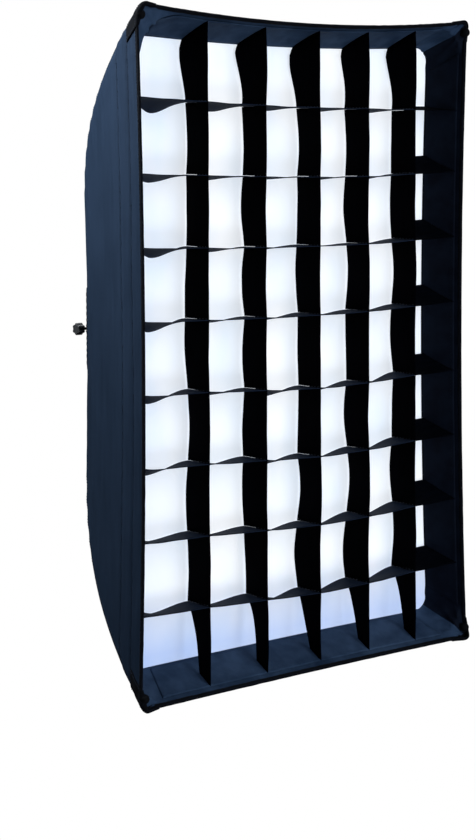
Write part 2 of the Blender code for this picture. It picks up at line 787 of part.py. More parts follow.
def grid_vertical(i, parent):
    """Upright strip, slotted from behind for each cross strip."""
    x = column_x(i)
    half_slot = SLOT_WIDTH / 2

    def end(side, depth):
        reach = wall_reach(side, x, depth, STRIP_IN)
        return reach if side == "top" else -reach

    lowest = row_z(GRID_ROWS - 1)
    outline = [(end("bottom", GRID_START), GRID_START), (end("top", GRID_START), GRID_START),
               (end("top", GRID_END), GRID_END)]
    for j in range(GRID_ROWS):
        z = row_z(j)
        outline += [(z + half_slot, GRID_END), (z + half_slot, GRID_MID - GAP / 2),
                    (z - half_slot, GRID_MID - GAP / 2), (z - half_slot, GRID_END)]
    outline += [(lowest - FOOT_BELOW, GRID_END), (end("bottom", GRID_FOOT), GRID_FOOT)]
    frame = Matrix(((0, 0, 1, x), (0, 1, 0, FRONT_Y), (1, 0, 0, 0), (0, 0, 0, 1)))
    strip = flat_outline(f"grid_vertical_{i + 1}", outline, STRIP_THICK, FABRIC, frame)
    attach(strip, parent)


def grid_horizontal(j, parent):
    """Cross strip, slotted from the front for each upright."""
    z = row_z(j)
    half_slot = SLOT_WIDTH / 2
    right = [wall_reach("right", z, depth, STRIP_IN) for depth in (GRID_START, GRID_END)]
    left = [-wall_reach("left", z, depth, STRIP_IN) for depth in (GRID_START, GRID_END)]
    outline = [(right[0], GRID_START), (right[1], GRID_END), (left[1], GRID_END),
               (left[0], GRID_START)]
    for i in range(GRID_COLUMNS):
        x = column_x(i)
        outline += [(x - half_slot, GRID_START), (x - half_slot, GRID_MID + GAP / 2),
                    (x + half_slot, GRID_MID + GAP / 2), (x + half_slot, GRID_START)]
    strip = flat_outline(f"grid_horizontal_{j + 1}", outline, STRIP_THICK, FABRIC,
                         Matrix.Translation((0, FRONT_Y, z)))
    attach(strip, parent)


def grid_band(side, parent):
    """Border of the grid that sticks to the inside of the lip."""
    upright = side in ("left", "right")

    def shape(u, v):
        depth = GRID_START + (GRID_END - GRID_START) * v
        length = (half_height(depth) if upright else half_width(depth)) - BAND_CUT
        return wall_point(side, (2 * u - 1) * length, depth, BAND_IN)

    band = surface(f"grid_band_{side}", 8, 2, shape, WEBBING,
                   lambda point: Vector((point.x, 0, 0)) if upright else Vector((0, 0, point.z)))
    thicken(band, BAND_THICK)
    attach(band, parent)


# ---------------------------------------------------------------- assembly

clear_scene()
PARTS = collection("strip_softbox")
TOOLS = collection("cutters")

CAST_METAL = material("cast_metal", (0.055, 0.057, 0.062), 0.45, 0.8)
STEEL = material("zinc_steel", (0.55, 0.56, 0.58), 0.35, 1.0)
SPRING_STEEL = material("spring_steel", (0.30, 0.31, 0.33), 0.35, 1.0)
PLASTIC = material("black_plastic", (0.02, 0.02, 0.022), 0.5)
RUBBER = material("black_rubber", (0.015, 0.015, 0.017), 0.7)
WEBBING = material("black_webbing", (0.012, 0.014, 0.02), 0.85)
FABRIC = material("black_fabric", (0.018, 0.028, 0.05), 0.8)
DIFFUSION = material("diffusion_cloth", (0.9, 0.92, 0.95), 0.7)
ELASTIC = material("elastic", (0.03, 0.03, 0.035), 0.8)

bayonet_insert()
box_axis = hinge("ring_spin_axis")
ring_body(box_axis)
retaining_ring(box_axis)
for number in range(SCREW_COUNT):
    ring_screw(number, box_axis)
lock_knob("left", -1, box_axis)
lock_knob("right", 1, box_axis)
for place_name in CORNERS:
    rod_socket(place_name, box_axis)
    spring_rod(place_name, box_axis)
    rod_ferrule(place_name, box_axis)
    rod_tip(place_name, box_axis)
    corner_pocket(place_name, box_axis)
for wall in SIDES:
    shell_panel(wall, box_axis)
rear_collar(box_axis)
front_binding(box_axis)
lip_hook_tape(box_axis)

baffle_slide = hinge("baffle_off_slide", (0, FRONT_Y + BAFFLE_DEPTH, 0))
attach(baffle_slide, box_axis)
inner_baffle(baffle_slide)
for place_name in CORNERS:
    baffle_strap(place_name, baffle_slide)

diffuser_slide = hinge("diffuser_off_slide", (0, FRONT_Y + DIFFUSER_DEPTH, 0))
attach(diffuser_slide, baffle_slide)
front_diffuser(diffuser_slide)
diffuser_loop_tape(diffuser_slide)

grid_slide = hinge("grid_off_slide", (0, FRONT_Y + GRID_START, 0))
attach(grid_slide, diffuser_slide)
for number in range(GRID_COLUMNS):
    grid_vertical(number, grid_slide)
for number in range(GRID_ROWS):
    grid_horizontal(number, grid_slide)
for wall in SIDES:
    grid_band(wall, grid_slide)
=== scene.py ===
"""Looks of a strip softbox with a fabric egg-crate grid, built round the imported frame.

Units are metres. +Z is up and the lit face looks along -Y. The origin is the centre of the
speed ring's rear seat. The driving dimensions below are the CAD's own.
"""
import math
import random

import bmesh
import bpy
from mathutils import Matrix, Vector, noise


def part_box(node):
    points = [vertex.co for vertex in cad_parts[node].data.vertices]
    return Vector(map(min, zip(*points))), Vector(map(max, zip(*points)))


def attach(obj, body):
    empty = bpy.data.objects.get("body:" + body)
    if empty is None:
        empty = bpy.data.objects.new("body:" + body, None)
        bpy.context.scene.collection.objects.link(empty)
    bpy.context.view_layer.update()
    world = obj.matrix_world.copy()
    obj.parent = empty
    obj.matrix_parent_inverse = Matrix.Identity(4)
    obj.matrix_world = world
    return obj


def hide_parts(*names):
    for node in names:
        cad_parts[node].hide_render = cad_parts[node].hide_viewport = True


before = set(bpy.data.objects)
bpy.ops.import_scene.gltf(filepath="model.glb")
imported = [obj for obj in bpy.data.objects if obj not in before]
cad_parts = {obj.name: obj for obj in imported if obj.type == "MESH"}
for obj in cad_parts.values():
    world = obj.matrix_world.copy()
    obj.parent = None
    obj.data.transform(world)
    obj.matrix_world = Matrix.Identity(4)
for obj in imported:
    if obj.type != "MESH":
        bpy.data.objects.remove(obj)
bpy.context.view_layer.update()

# Shell, as in the CAD
FRONT_HALF_W = 0.300
FRONT_HALF_H = 0.450
REAR_HALF = 0.078
SHELL_DEPTH = 0.400
SHELL_THICK = 0.0012
TAPER = 0.59
CURL = 3.3
BOW = {"left": 0.0085, "right": 0.0115, "top": 0.0125, "bottom": 0.002}
TOP_EDGE_PULL = 0.0035      # the hem of the top lip hangs lower than the CAD's
TOP_INNER_SLACK = 0.0035    # the cloth behind that hem stands higher than the CAD's
FRONT_Y = -0.028 - SHELL_DEPTH
CORNERS = {"tl": (-1, 1), "tr": (1, 1), "bl": (-1, -1), "br": (1, -1)}
SIDES = ("left", "right", "top", "bottom")

# How the fabric rounds the corners
FRONT_ROUND = {"tl": 0.018, "tr": 0.009, "bl": 0.012, "br": 0.011}
SIDE_ROUND = {"tl": 0.0150, "tr": 0.0100, "bl": 0.0050, "br": 0.0065}   # over the rods
COLLAR_CORNER = 0.024
SLEEVE_ROUND = 0.026        # corner radius of the facing, which hides the rods
SLEEVE_FLARE = {"tl": 0.066, "tr": 0.030, "bl": 0.016, "br": 0.030}   # added at the front
SLEEVE_START = 0.007        # depth where the facing has turned in over the rod's end
FOLD_HEIGHT = {"tl": 0.0026, "tr": 0.0034, "bl": 0.0010, "br": 0.0030}   # of the facing
FOLD_PHASE = {"tl": 0.4, "tr": 1.7, "bl": 0.0, "br": 2.6}
SEAM_DEPTHS = (0.0370, 0.0780)
CORNER_SEAM = 0.0058        # from a corner's welt to the stitching beside it

# Rods and speed ring, as in the CAD
ROD_RADIUS = 0.0025
ROD_IN = 0.0065
ROD_IN_REAR = 0.0151
ROD_TIP_OUT = 0.0010
ROD_TIP_DOWN = 0.0095
ROD_TIP_SPAN = 0.06
ROD_BEND_END = 0.372
TIP_DEPTH = -0.002
TIP_RADIUS = 0.0065
LOCK_Y = -0.0055
COLLAR_SLOT = 0.0045        # notch in the collar's hem that a lock screw passes through
COLLAR_FRONT_Y = -0.0285
COLLAR_WIDTH = 0.0245

# Layers inside the lip: the facing is drawn only here, the rest is as in the CAD
FACING_IN = 0.0016
FACING_END = 0.0620
DIFFUSER_DEPTH = 0.0590
DIFFUSER_IN = 0.0013        # its rim is tucked into the facing
DIFFUSER_CORNER = 0.026     # radius at the rods
TAPE_START = 0.0610
TAPE_END = 0.0850
BAND_IN = 0.0021
STRIP_IN = 0.0036
BAND_CUT = 0.040
GRID_START = 0.008
GRID_END = 0.0555
GRID_WIDTH = GRID_END - GRID_START
GRID_MID = 0.0315
GRID_FOOT = 0.031
GRID_COLUMNS = 5
GRID_ROWS = 8
GRID_PITCH_X = 0.0960
GRID_PITCH_Z = 0.0945
GRID_SHIFT_X = 0.0140
COLUMN_DRIFT = (0.0, 0.0040, 0.0055, 0.0015, -0.0025)
GRID_SHIFT_Z = -0.0085
HALF_SLOT = 0.0009
BAFFLE_DEPTH = 0.200
BAFFLE_HALF_W = 0.155
BAFFLE_HALF_H = 0.245
BAFFLE_CUT = 0.030

# Flat sizes and finish
FLOOR_Z = -1.25
PANEL_AREA = 1.12           # its area over that of the flat trapezium
COLLAR_GATHERS = 62         # once round
STRAP_WIDTH = 0.012

TAU = 2 * math.pi


# ---- camera, light, floor

def add_object(name, data):
    made = bpy.data.objects.new(name, data)
    bpy.context.scene.collection.objects.link(made)
    return made


def aimed(at, direction, axis="-Z"):
    """A placement at a point, with an axis along a direction."""
    return Matrix.Translation(at) @ direction.to_track_quat(axis, "Y").to_matrix().to_4x4()


def set_camera():
    """Three-quarter view from the front left, a little above the middle."""
    yaw, pitch, roll = math.radians(40.13), math.radians(-2.67), math.radians(-0.22)
    data = bpy.data.cameras.new("camera")
    data.lens = 84.27
    data.sensor_width = 36
    data.shift_y = -0.2
    data.clip_end = 200
    made = add_object("camera", data)
    level = math.cos(pitch)
    forward = Vector((math.sin(yaw) * level, math.cos(yaw) * level, math.sin(pitch)))
    made.matrix_world = (aimed((-1.798, FRONT_Y - 1.973, 0.251), forward)
                         @ Matrix.Rotation(roll, 4, "Z"))
    bpy.context.scene.camera = made


def area_light(name, at, target, size, power, colour):
    data = bpy.data.lights.new(name, "AREA")
    data.shape = "RECTANGLE"
    data.size, data.size_y = size
    data.energy = power
    data.color = colour
    add_object(name, data).matrix_world = aimed(at, Vector(target) - Vector(at))


def socket(shader, name, value):
    shader.inputs[name].default_value = value


def add_node(tree, kind, links=(), **settings):
    """A shader node, with each listed input either linked or set."""
    made = tree.nodes.new(kind)
    for key, value in settings.items():
        setattr(made, key, value)
    for slot, value in links:
        if isinstance(value, bpy.types.NodeSocket):
            tree.links.new(value, made.inputs[slot])
        else:
            made.inputs[slot].default_value = value
    return made


def add_ramp(tree, factor, stops):
    made = add_node(tree, "ShaderNodeValToRGB", [("Fac", factor)])
    band = made.color_ramp
    while len(band.elements) < len(stops):
        band.elements.new(0.5)
    for element, (position, colour) in zip(band.elements, stops):
        element.position = position
        element.color = (*colour, 1)
    return made.outputs["Color"]


def split_by_ray(tree, lit, seen):
    """Shader that the camera sees as one thing and everything else as another."""
    direct = add_node(tree, "ShaderNodeLightPath").outputs["Is Camera Ray"]
    links = [(0, direct), (1, lit.outputs[0]), (2, seen.outputs[0])]
    return add_node(tree, "ShaderNodeMixShader", links).outputs[0]


def set_world():
    """White backdrop; as a light it is brighter from above than from below."""
    world = bpy.data.worlds.new("studio")
    bpy.context.scene.world = world
    world.use_nodes = True
    tree = world.node_tree
    tree.nodes.clear()
    place = add_node(tree, "ShaderNodeTexCoord").outputs["Generated"]
    height = add_node(tree, "ShaderNodeSeparateXYZ", [(0, place)]).outputs["Z"]
    half = add_node(tree, "ShaderNodeMath", [(0, height), (1, 0.5), (2, 0.5)],
                    operation="MULTIPLY_ADD").outputs[0]
    sky = add_ramp(tree, half, [(0.47, (0.03, 0.04, 0.07)), (0.75, (0.85, 0.92, 1.0))])
    glow = add_node(tree, "ShaderNodeBackground", [("Color", sky), ("Strength", 0.045)])
    seen = add_node(tree, "ShaderNodeBackground", [("Color", (1, 1, 1, 1)), ("Strength", 1.0)])
    add_node(tree, "ShaderNodeOutputWorld", [("Surface", split_by_ray(tree, glow, seen))])


def set_stage():
    """White floor and four soft lamps."""
    mesh = bpy.data.meshes.new("floor")
    bm = bmesh.new()
    bmesh.ops.create_grid(bm, x_segments=2, y_segments=2, size=40)
    bm.to_mesh(mesh)
    bm.free()
    floor = add_object("floor", mesh)
    floor.location.z = FLOOR_Z
    paint = bpy.data.materials.new("floor_paint")
    paint.use_nodes = True
    tree = paint.node_tree
    shader = tree.nodes["Principled BSDF"]
    socket(shader, "Base Color", (0.10, 0.10, 0.11, 1))
    socket(shader, "Roughness", 0.9)
    socket(shader, "Specular IOR Level", 0.0)
    both = split_by_ray(tree, shader, add_node(tree, "ShaderNodeEmission"))
    tree.links.new(both, tree.nodes["Material Output"].inputs["Surface"])
    mesh.materials.append(paint)
    bpy.context.scene.view_settings.view_transform = "Standard"
    area_light("key", (-0.70, 0.02, 0.80), (-0.26, -0.25, 0.25), (0.4, 0.4), 17, (0.90, 0.96, 1))
    area_light("front_fill", (0.6, -3.4, 1.2), (0, -0.4, 0), (2.4, 2.4), 76, (0.95, 0.97, 1))
    area_light("low_fill", (-0.3, -2.6, -1.1), (0, -0.4, 0.1), (2.2, 1.0), 36, (0.9, 0.95, 1))
    area_light("back_fill", (2.6, 2.2, 1.6), (0, -0.2, 0), (2.0, 2.0), 70, (0.97, 0.98, 1))


set_camera()
set_world()
set_stage()


# ---- materials

class Look:
    """A Principled material whose colour, roughness and bump come from procedural nodes."""

    def __init__(self, name, roughness=0.8, metallic=0.0, **sockets):
        self.material = bpy.data.materials.new(name)
        self.material.use_nodes = True
        self.tree = self.material.node_tree
        self.shader = self.tree.nodes["Principled BSDF"]
        self.place = self.tree.nodes.new("ShaderNodeTexCoord").outputs["Object"]
        socket(self.shader, "Roughness", roughness)
        socket(self.shader, "Metallic", metallic)
        for key, value in sockets.items():
            socket(self.shader, key.replace("_", " "), value)

    def node(self, kind, links=(), **settings):
        return add_node(self.tree, kind, links, **settings)

    def math(self, operation, first, second, third=0.0):
        links = [(0, first), (1, second), (2, third)]
        return self.node("ShaderNodeMath", links, operation=operation).outputs[0]

    def noise(self, scale, detail=3.0, rough=0.55, stretch=None):
        place = self.place
        if stretch:
            place = self.node("ShaderNodeMapping", [(0, place), ("Scale", stretch)]).outputs[0]
        return self.node("ShaderNodeTexNoise", [("Vector", place), ("Scale", scale), ("Detail", detail),
                                                ("Roughness", rough)]).outputs["Fac"]

    def ramp(self, factor, stops):
        return add_ramp(self.tree, factor, stops)

    def blend(self, factor, first, second, mode="MIX"):
        colours = [value if isinstance(value, bpy.types.NodeSocket) else (*value, 1)
                   for value in (first, second)]
        links = [(0, factor), (6, colours[0]), (7, colours[1])]
        return self.node("ShaderNodeMix", links, data_type="RGBA", blend_type=mode).outputs[2]

    def weave(self, pitch):
        """Over and under threads, in whichever plane the cloth lies."""
        scale = TAU / 20 / pitch
        waves = []
        for axis in "XYZ":
            wave = self.node("ShaderNodeTexWave", [("Vector", self.place), ("Scale", scale)],
                             bands_direction=axis)
            waves.append(self.math("SUBTRACT", wave.outputs["Fac"], 0.5))
        total = self.math("MULTIPLY", waves[0], waves[1])
        total = self.math("MULTIPLY_ADD", waves[1], waves[2], total)
        return self.math("MULTIPLY_ADD", waves[2], waves[0], total)

    def bump(self, height, distance, strength=1.0, under=None):
        links = [("Height", height), ("Distance", distance), ("Strength", strength)]
        if under:
            links.append(("Normal", under))
        return self.node("ShaderNodeBump", links).outputs["Normal"]

    def colour(self, value):
        self.tree.links.new(value, self.shader.inputs["Base Color"])

    def roughness(self, factor, low, high):
        made = self.node("ShaderNodeMapRange", [("Value", factor), ("To Min", low), ("To Max", high)])
        self.tree.links.new(made.outputs[0], self.shader.inputs["Roughness"])

    def normal(self, value):
        self.tree.links.new(value, self.shader.inputs["Normal"])


def fabric_look(name, dark, light, streak=(300, 300, 9), sheen=0.01, gloss=0.04):
    """Woven nylon: uneven dye, long slubs along the warp, threads, and a soft nap."""
    look = Look(name, 0.8, Sheen_Weight=sheen, Sheen_Roughness=0.45, Specular_IOR_Level=gloss)
    socket(look.shader, "Sheen Tint", (0.45, 0.62, 1.0, 1))
    cloud = look.noise(9, 4)
    slub = look.noise(1.0, 2, 0.6, streak)
    threads = look.weave(0.0009)
    body = look.ramp(cloud, [(0.30, dark), (0.70, light)])
    streaked = look.blend(0.55, body, look.ramp(slub, [(0.35, dark), (0.65, light)]))
    shade = look.ramp(look.math("MULTIPLY_ADD", threads, 1.6, 0.5),
                      [(0.0, (0.72, 0.72, 0.74)), (1.0, (1.0, 1.0, 1.0))])
    look.colour(look.blend(1.0, streaked, shade, "MULTIPLY"))
    look.roughness(slub, 0.62, 0.85)
    coarse = look.bump(look.noise(38, 3), 0.0007, 0.5)
    lines = look.bump(slub, 0.0003, 0.5, coarse)
    look.normal(look.bump(threads, 0.00012, 0.8, lines))
    return look.material


def webbing_look(name, dark, light, pitch=0.0022):
    """Ribbed tape with a coarse rib and a fine thread."""
    look = Look(name, 0.85, Sheen_Weight=0.01, Specular_IOR_Level=0.06)
    ribs = look.weave(pitch)
    wear = look.noise(60, 4, 0.65)
    body = look.ramp(wear, [(0.35, dark), (0.75, light)])
    shade = look.ramp(look.math("MULTIPLY_ADD", ribs, 1.8, 0.5),
                      [(0.0, (0.55, 0.55, 0.58)), (1.0, (1, 1, 1))])
    look.colour(look.blend(1.0, body, shade, "MULTIPLY"))
    look.roughness(wear, 0.75, 0.95)
    look.normal(look.bump(ribs, 0.0003, 0.8, look.bump(look.noise(900, 2), 0.0001, 0.6)))
    return look.material


def diffusion_look_painted_glow(name, bright, shaded, glow, falloffs=(), reflected=(1, 1, 1)):
    """White translucent cloth: bright, with faint cool patches and a fine weave. Its tone is also
    emitted, a painted glow, as no lamp is behind it.

    Each falloff is (axis, low, high, shade): painted shade, the cloth's colour and glow dimmer where
    less light would reach it.
    """
    look = Look(name, 0.6, Subsurface_Weight=0.0, Specular_IOR_Level=0.3, Sheen_Weight=0.1)
    cloud = look.noise(11, 3, 0.5)
    hang = look.noise(1.0, 2, 0.5, (16, 16, 3.0))
    both = look.math("MULTIPLY", look.math("ADD", cloud, hang), 0.5)
    tone = look.ramp(both, [(0.38, shaded), (0.58, bright)])
    split = look.node("ShaderNodeSeparateXYZ", [(0, look.place)])
    for axis, low, high, shade in falloffs:
        rise = look.node("ShaderNodeMapRange", [("Value", split.outputs[axis]), ("From Min", low),
                                                ("From Max", high)])
        tone = look.blend(1.0, tone, look.ramp(rise.outputs[0], [(0.0, shade), (1.0, (1, 1, 1))]),
                          "MULTIPLY")
    # The cloth reflects only part of its tone and emits all of it, painted shade included: painted
    # glow.
    look.colour(look.blend(1.0, tone, reflected, "MULTIPLY"))
    look.tree.links.new(tone, look.shader.inputs["Emission Color"])
    socket(look.shader, "Emission Strength", glow)
    look.roughness(cloud, 0.5, 0.7)
    soft = look.bump(look.noise(30, 3), 0.0010, 0.35)
    look.normal(look.bump(look.weave(0.0007), 0.00008, 0.6, soft))
    return look.material


def silver_look(name):
    """Crinkled reflective lining."""
    look = Look(name, 0.35, 0.85, Specular_IOR_Level=0.5)
    crinkle = look.node("ShaderNodeTexVoronoi", [("Vector", look.place), ("Scale", 170.0)],
                        feature="F1").outputs["Distance"]
    cloud = look.noise(25, 4)
    look.colour(look.ramp(cloud, [(0.3, (0.52, 0.53, 0.55)), (0.7, (0.74, 0.75, 0.77))]))
    look.roughness(cloud, 0.25, 0.5)
    look.normal(look.bump(crinkle, 0.0009, 0.7, look.bump(look.weave(0.0012), 0.00015, 0.5)))
    return look.material


def metal_look(name, dark, light, roughness):
    """Turned or drawn steel: fine scratches, and darker handling marks."""
    look = Look(name, 0.35, 1.0)
    marks = look.noise(45, 5, 0.6)
    scratches = look.noise(900.0, 2, 0.7, (1, 0.06, 1))
    tone = look.ramp(marks, [(0.3, dark), (0.7, light)])
    look.colour(look.blend(0.35, tone, look.ramp(scratches, [(0.3, dark), (0.7, light)])))
    look.roughness(marks, *roughness)
    look.normal(look.bump(scratches, 0.00004, 0.5))
    return look.material


def powder_look(name, dark, light, metallic=0.0, roughness=(0.42, 0.6), gloss=0.5, rubbed=0.03):
    """Powder coat or moulded plastic: a fine pebble with worn, lighter high spots."""
    look = Look(name, 0.5, metallic, Specular_IOR_Level=gloss)
    pebble = look.noise(1400, 2, 0.5)
    wear = look.noise(35, 5, 0.65)
    edge = look.node("ShaderNodeNewGeometry").outputs["Pointiness"]
    rub = look.ramp(edge, [(0.50, (0, 0, 0)), (0.60, (1, 1, 1))])
    tone = look.ramp(wear, [(0.35, dark), (0.75, light)])
    worn = tuple(min(1.0, channel * 3 + rubbed) for channel in light)
    look.colour(look.blend(look.math("MULTIPLY", rub, 0.35), tone, worn))
    look.roughness(wear, *roughness)
    look.normal(look.bump(pebble, 0.00012, 0.5))
    return look.material


def thread_look(name, colour):
    look = Look(name, 0.7, Sheen_Weight=0.03, Specular_IOR_Level=0.15)
    twist = look.node("ShaderNodeTexWave", [("Vector", look.place), ("Scale", 900.0)],
                      bands_direction="DIAGONAL").outputs["Fac"]
    dim = tuple(channel * 0.6 for channel in colour)
    look.colour(look.ramp(twist, [(0.2, dim), (0.8, colour)]))
    look.normal(look.bump(twist, 0.0001, 0.7))
    return look.material


SHELL = fabric_look("shell_nylon", (0.012, 0.023, 0.044), (0.022, 0.039, 0.072))
# The two facing nylons are one cloth in a lighter and a darker copy. The darker one, used on the right
# lip and inside the shell's lip, is painted shade.
FACING = fabric_look("facing_nylon", (0.011, 0.025, 0.055), (0.036, 0.066, 0.124), (34, 34, 34))
FACING_PAINTED_SHADE = fabric_look("facing_nylon_dark", (0.0016, 0.0030, 0.0080), (0.0048, 0.0088, 0.0190),
                          (40, 40, 40))
# The uprights' copy of the black grid nylon is darker than the cross strips': painted shade.
UPRIGHT_PAINTED_SHADE = fabric_look("grid_upright_nylon", (0.0003, 0.0004, 0.0009), (0.0011, 0.0013, 0.0026),
                      (260, 260, 9), 0.0, 0.005)
CROSS = fabric_look("grid_cross_nylon", (0.004, 0.008, 0.018), (0.010, 0.018, 0.038),
                    (9, 260, 260), 0.0)
# Darker copy for the cross strips right of the last upright: painted shade.
CROSS_PAINTED_SHADE = fabric_look("grid_cross_nylon_dark", (0.0004, 0.0007, 0.0016),
                         (0.0016, 0.0024, 0.0050), (9, 260, 260), 0.0, 0.005)
BLACK_TAPE = webbing_look("black_tape", (0.0012, 0.0018, 0.0036), (0.0040, 0.0058, 0.0110))
PATCH = webbing_look("black_patch", (0.0012, 0.0016, 0.0030), (0.0038, 0.0050, 0.0090), 0.0016)
HOOK_TAPE = webbing_look("hook_tape", (0.004, 0.004, 0.006), (0.010, 0.010, 0.013), 0.0014)
ELASTIC = webbing_look("black_elastic", (0.006, 0.006, 0.008), (0.014, 0.014, 0.017), 0.0011)
# Diffuser cloth with painted glow, and painted shade: darker and bluer along the bottom row and the
# left column, and reflecting only half its tone.
WHITE_CLOTH_PAINTED_GLOW = diffusion_look_painted_glow("diffusion_cloth", (0.92, 0.95, 0.99), (0.80, 0.88, 0.98), 0.71,
                             [("Z", -0.40, -0.31, (0.54, 0.63, 0.85)),
                              ("X", -0.28, -0.15, (0.84, 0.89, 0.97))], (0.5, 0.5, 0.5))
# Baffle cloth with a faint painted glow.
BAFFLE_CLOTH_PAINTED_GLOW = diffusion_look_painted_glow("baffle_cloth", (0.92, 0.93, 0.95), (0.82, 0.85, 0.92), 0.05)
SILVER = silver_look("silver_lining")
THREAD = thread_look("dark_thread", (0.020, 0.030, 0.055))
PALE_THREAD = thread_look("grey_thread", (0.075, 0.085, 0.11))
STEEL = metal_look("zinc_steel", (0.42, 0.43, 0.45), (0.60, 0.61, 0.63), (0.24, 0.42))
SPRING = metal_look("spring_steel", (0.26, 0.27, 0.29), (0.42, 0.43, 0.46), (0.25, 0.4))
CAST = powder_look("cast_ring_coat", (0.022, 0.023, 0.026), (0.036, 0.037, 0.041), 0.2)
PLASTIC = powder_look("black_plastic", (0.012, 0.012, 0.013), (0.022, 0.022, 0.024))
RUBBER = powder_look("black_rubber", (0.0010, 0.0012, 0.0018), (0.0028, 0.0032, 0.0042), 0.0,
                     (0.7, 0.9), 0.06, 0.0)


# ---- shape of the shell

def clamp(t):
    return max(0.0, min(1.0, t))


def ease(t):
    t = clamp(t)
    return t * t * (3 - 2 * t)


def groove(distance, width):
    return math.exp(-(distance / width) ** 2)


def rough(x, y, z):
    return noise.noise(Vector((x, y, z)))


def share(depth):
    """How much of the front's extra size is left at this depth: 1 at the front, 0 at the rear."""
    s = depth / SHELL_DEPTH
    return 1 - TAPER * s - (1 - TAPER) * max(s, 0) ** CURL


def half_width(depth):
    return REAR_HALF + (FRONT_HALF_W - REAR_HALF) * share(depth)


def half_height(depth):
    return REAR_HALF + (FRONT_HALF_H - REAR_HALF) * share(depth)


def slant(half, depth):
    """Ratio of a distance along X or Z to the distance square to the slanting wall."""
    step = 0.001
    return math.hypot(1, (half(depth - step) - half(depth + step)) / (2 * step))


def bow(side, u, depth):
    """How far the fabric of a side pulls in between its corners; u runs from -1 to 1."""
    pull = BOW[side]
    if side == "top":
        pull += TOP_EDGE_PULL * math.exp(-(depth / 0.016) ** 2) - TOP_INNER_SLACK * ease(depth / 0.05)
    return pull * (1 - u * u) * math.cos(math.pi / 2 * clamp(depth / SHELL_DEPTH))


def reach_and_length(side):
    upright = side in ("left", "right")
    return (half_width, half_height) if upright else (half_height, half_width)


def wall_reach(side, across, depth, inside):
    """Distance from the Y axis to a side's wall, where across is the place along that side."""
    reach, length = reach_and_length(side)
    u = max(-1, min(1, across / length(depth)))
    return reach(depth) - bow(side, u, depth) - inside * slant(reach, depth)


def span(sides, across, depth):
    """Where the grid meets the walls of two facing sides, given as low and high."""
    low, high = sides
    return [-wall_reach(low, across, depth, STRIP_IN), wall_reach(high, across, depth, STRIP_IN)]


def side_point(side, across, out, depth):
    x, z = {"left": (-out, across), "right": (out, across),
            "top": (across, out), "bottom": (across, -out)}[side]
    return Vector((x, FRONT_Y + depth, z))


def corner_of(side, sign):
    """The corner that a side ends in, towards plus or minus X or Z."""
    if side in ("left", "right"):
        return ("t" if sign > 0 else "b") + side[0]
    return side[0] + ("r" if sign > 0 else "l")


def sides_at(corner):
    """The upright and the level side that meet at a corner, each with its sign there."""
    sx, sz = CORNERS[corner]
    return ("left" if sx < 0 else "right", sz), ("top" if sz > 0 else "bottom", sx)


def outer_round(corner, depth):
    near = math.exp(-max(0, depth) / 0.045)
    rear = max(0, depth / SHELL_DEPTH) ** 5
    side = SIDE_ROUND[corner]
    return side + (FRONT_ROUND[corner] - side) * near + (COLLAR_CORNER - side) * rear


def sleeve_round(corner, depth):
    """Inner corner of the lip's facing, wide enough to hide the rod behind it."""
    wide = SLEEVE_ROUND + SLEEVE_FLARE[corner] * max(0, 1 - depth / ROD_TIP_SPAN) ** 1.4
    edge = outer_round(corner, depth)
    return edge + (wide - edge) * ease(depth / SLEEVE_START)


def section(side, sign, run, depth, inside=0.0, rounding=outer_round):
    """Point of the shell at a distance run from the corner seam, measured along the fabric."""
    reach, length = reach_and_length(side)
    radius = rounding(corner_of(side, sign), depth)
    in_plane = inside * slant(reach, depth)
    arc = radius * math.pi / 4
    if run < arc:
        angle = math.pi / 4 - run / radius
        pull = bow(side, 1 - radius / length(depth), depth) * run / arc
        along = length(depth) - radius + (radius - in_plane) * math.sin(angle)
        out = reach(depth) - radius - pull + (radius - in_plane) * math.cos(angle)
    else:
        along = length(depth) - radius - (run - arc)
        out = reach(depth) - bow(side, along / length(depth), depth) - in_plane
    return side_point(side, sign * along, out, depth)


def side_length(side, depth, rounding=outer_round):
    """Length along the fabric from a side's middle to its low and its high corner seam."""
    length = reach_and_length(side)[1]
    radii = [rounding(corner_of(side, sign), depth) for sign in (-1, 1)]
    return [length(depth) - radius * (1 - math.pi / 4) for radius in radii]


def shell_point(side, a, depth, inside=0.0, rounding=outer_round):
    """Point of a side; a runs from -1 at one corner seam to 1 at the other."""
    run = (1 - abs(a)) * side_length(side, depth, rounding)[a >= 0]
    return section(side, 1 if a >= 0 else -1, run, depth, inside, rounding)


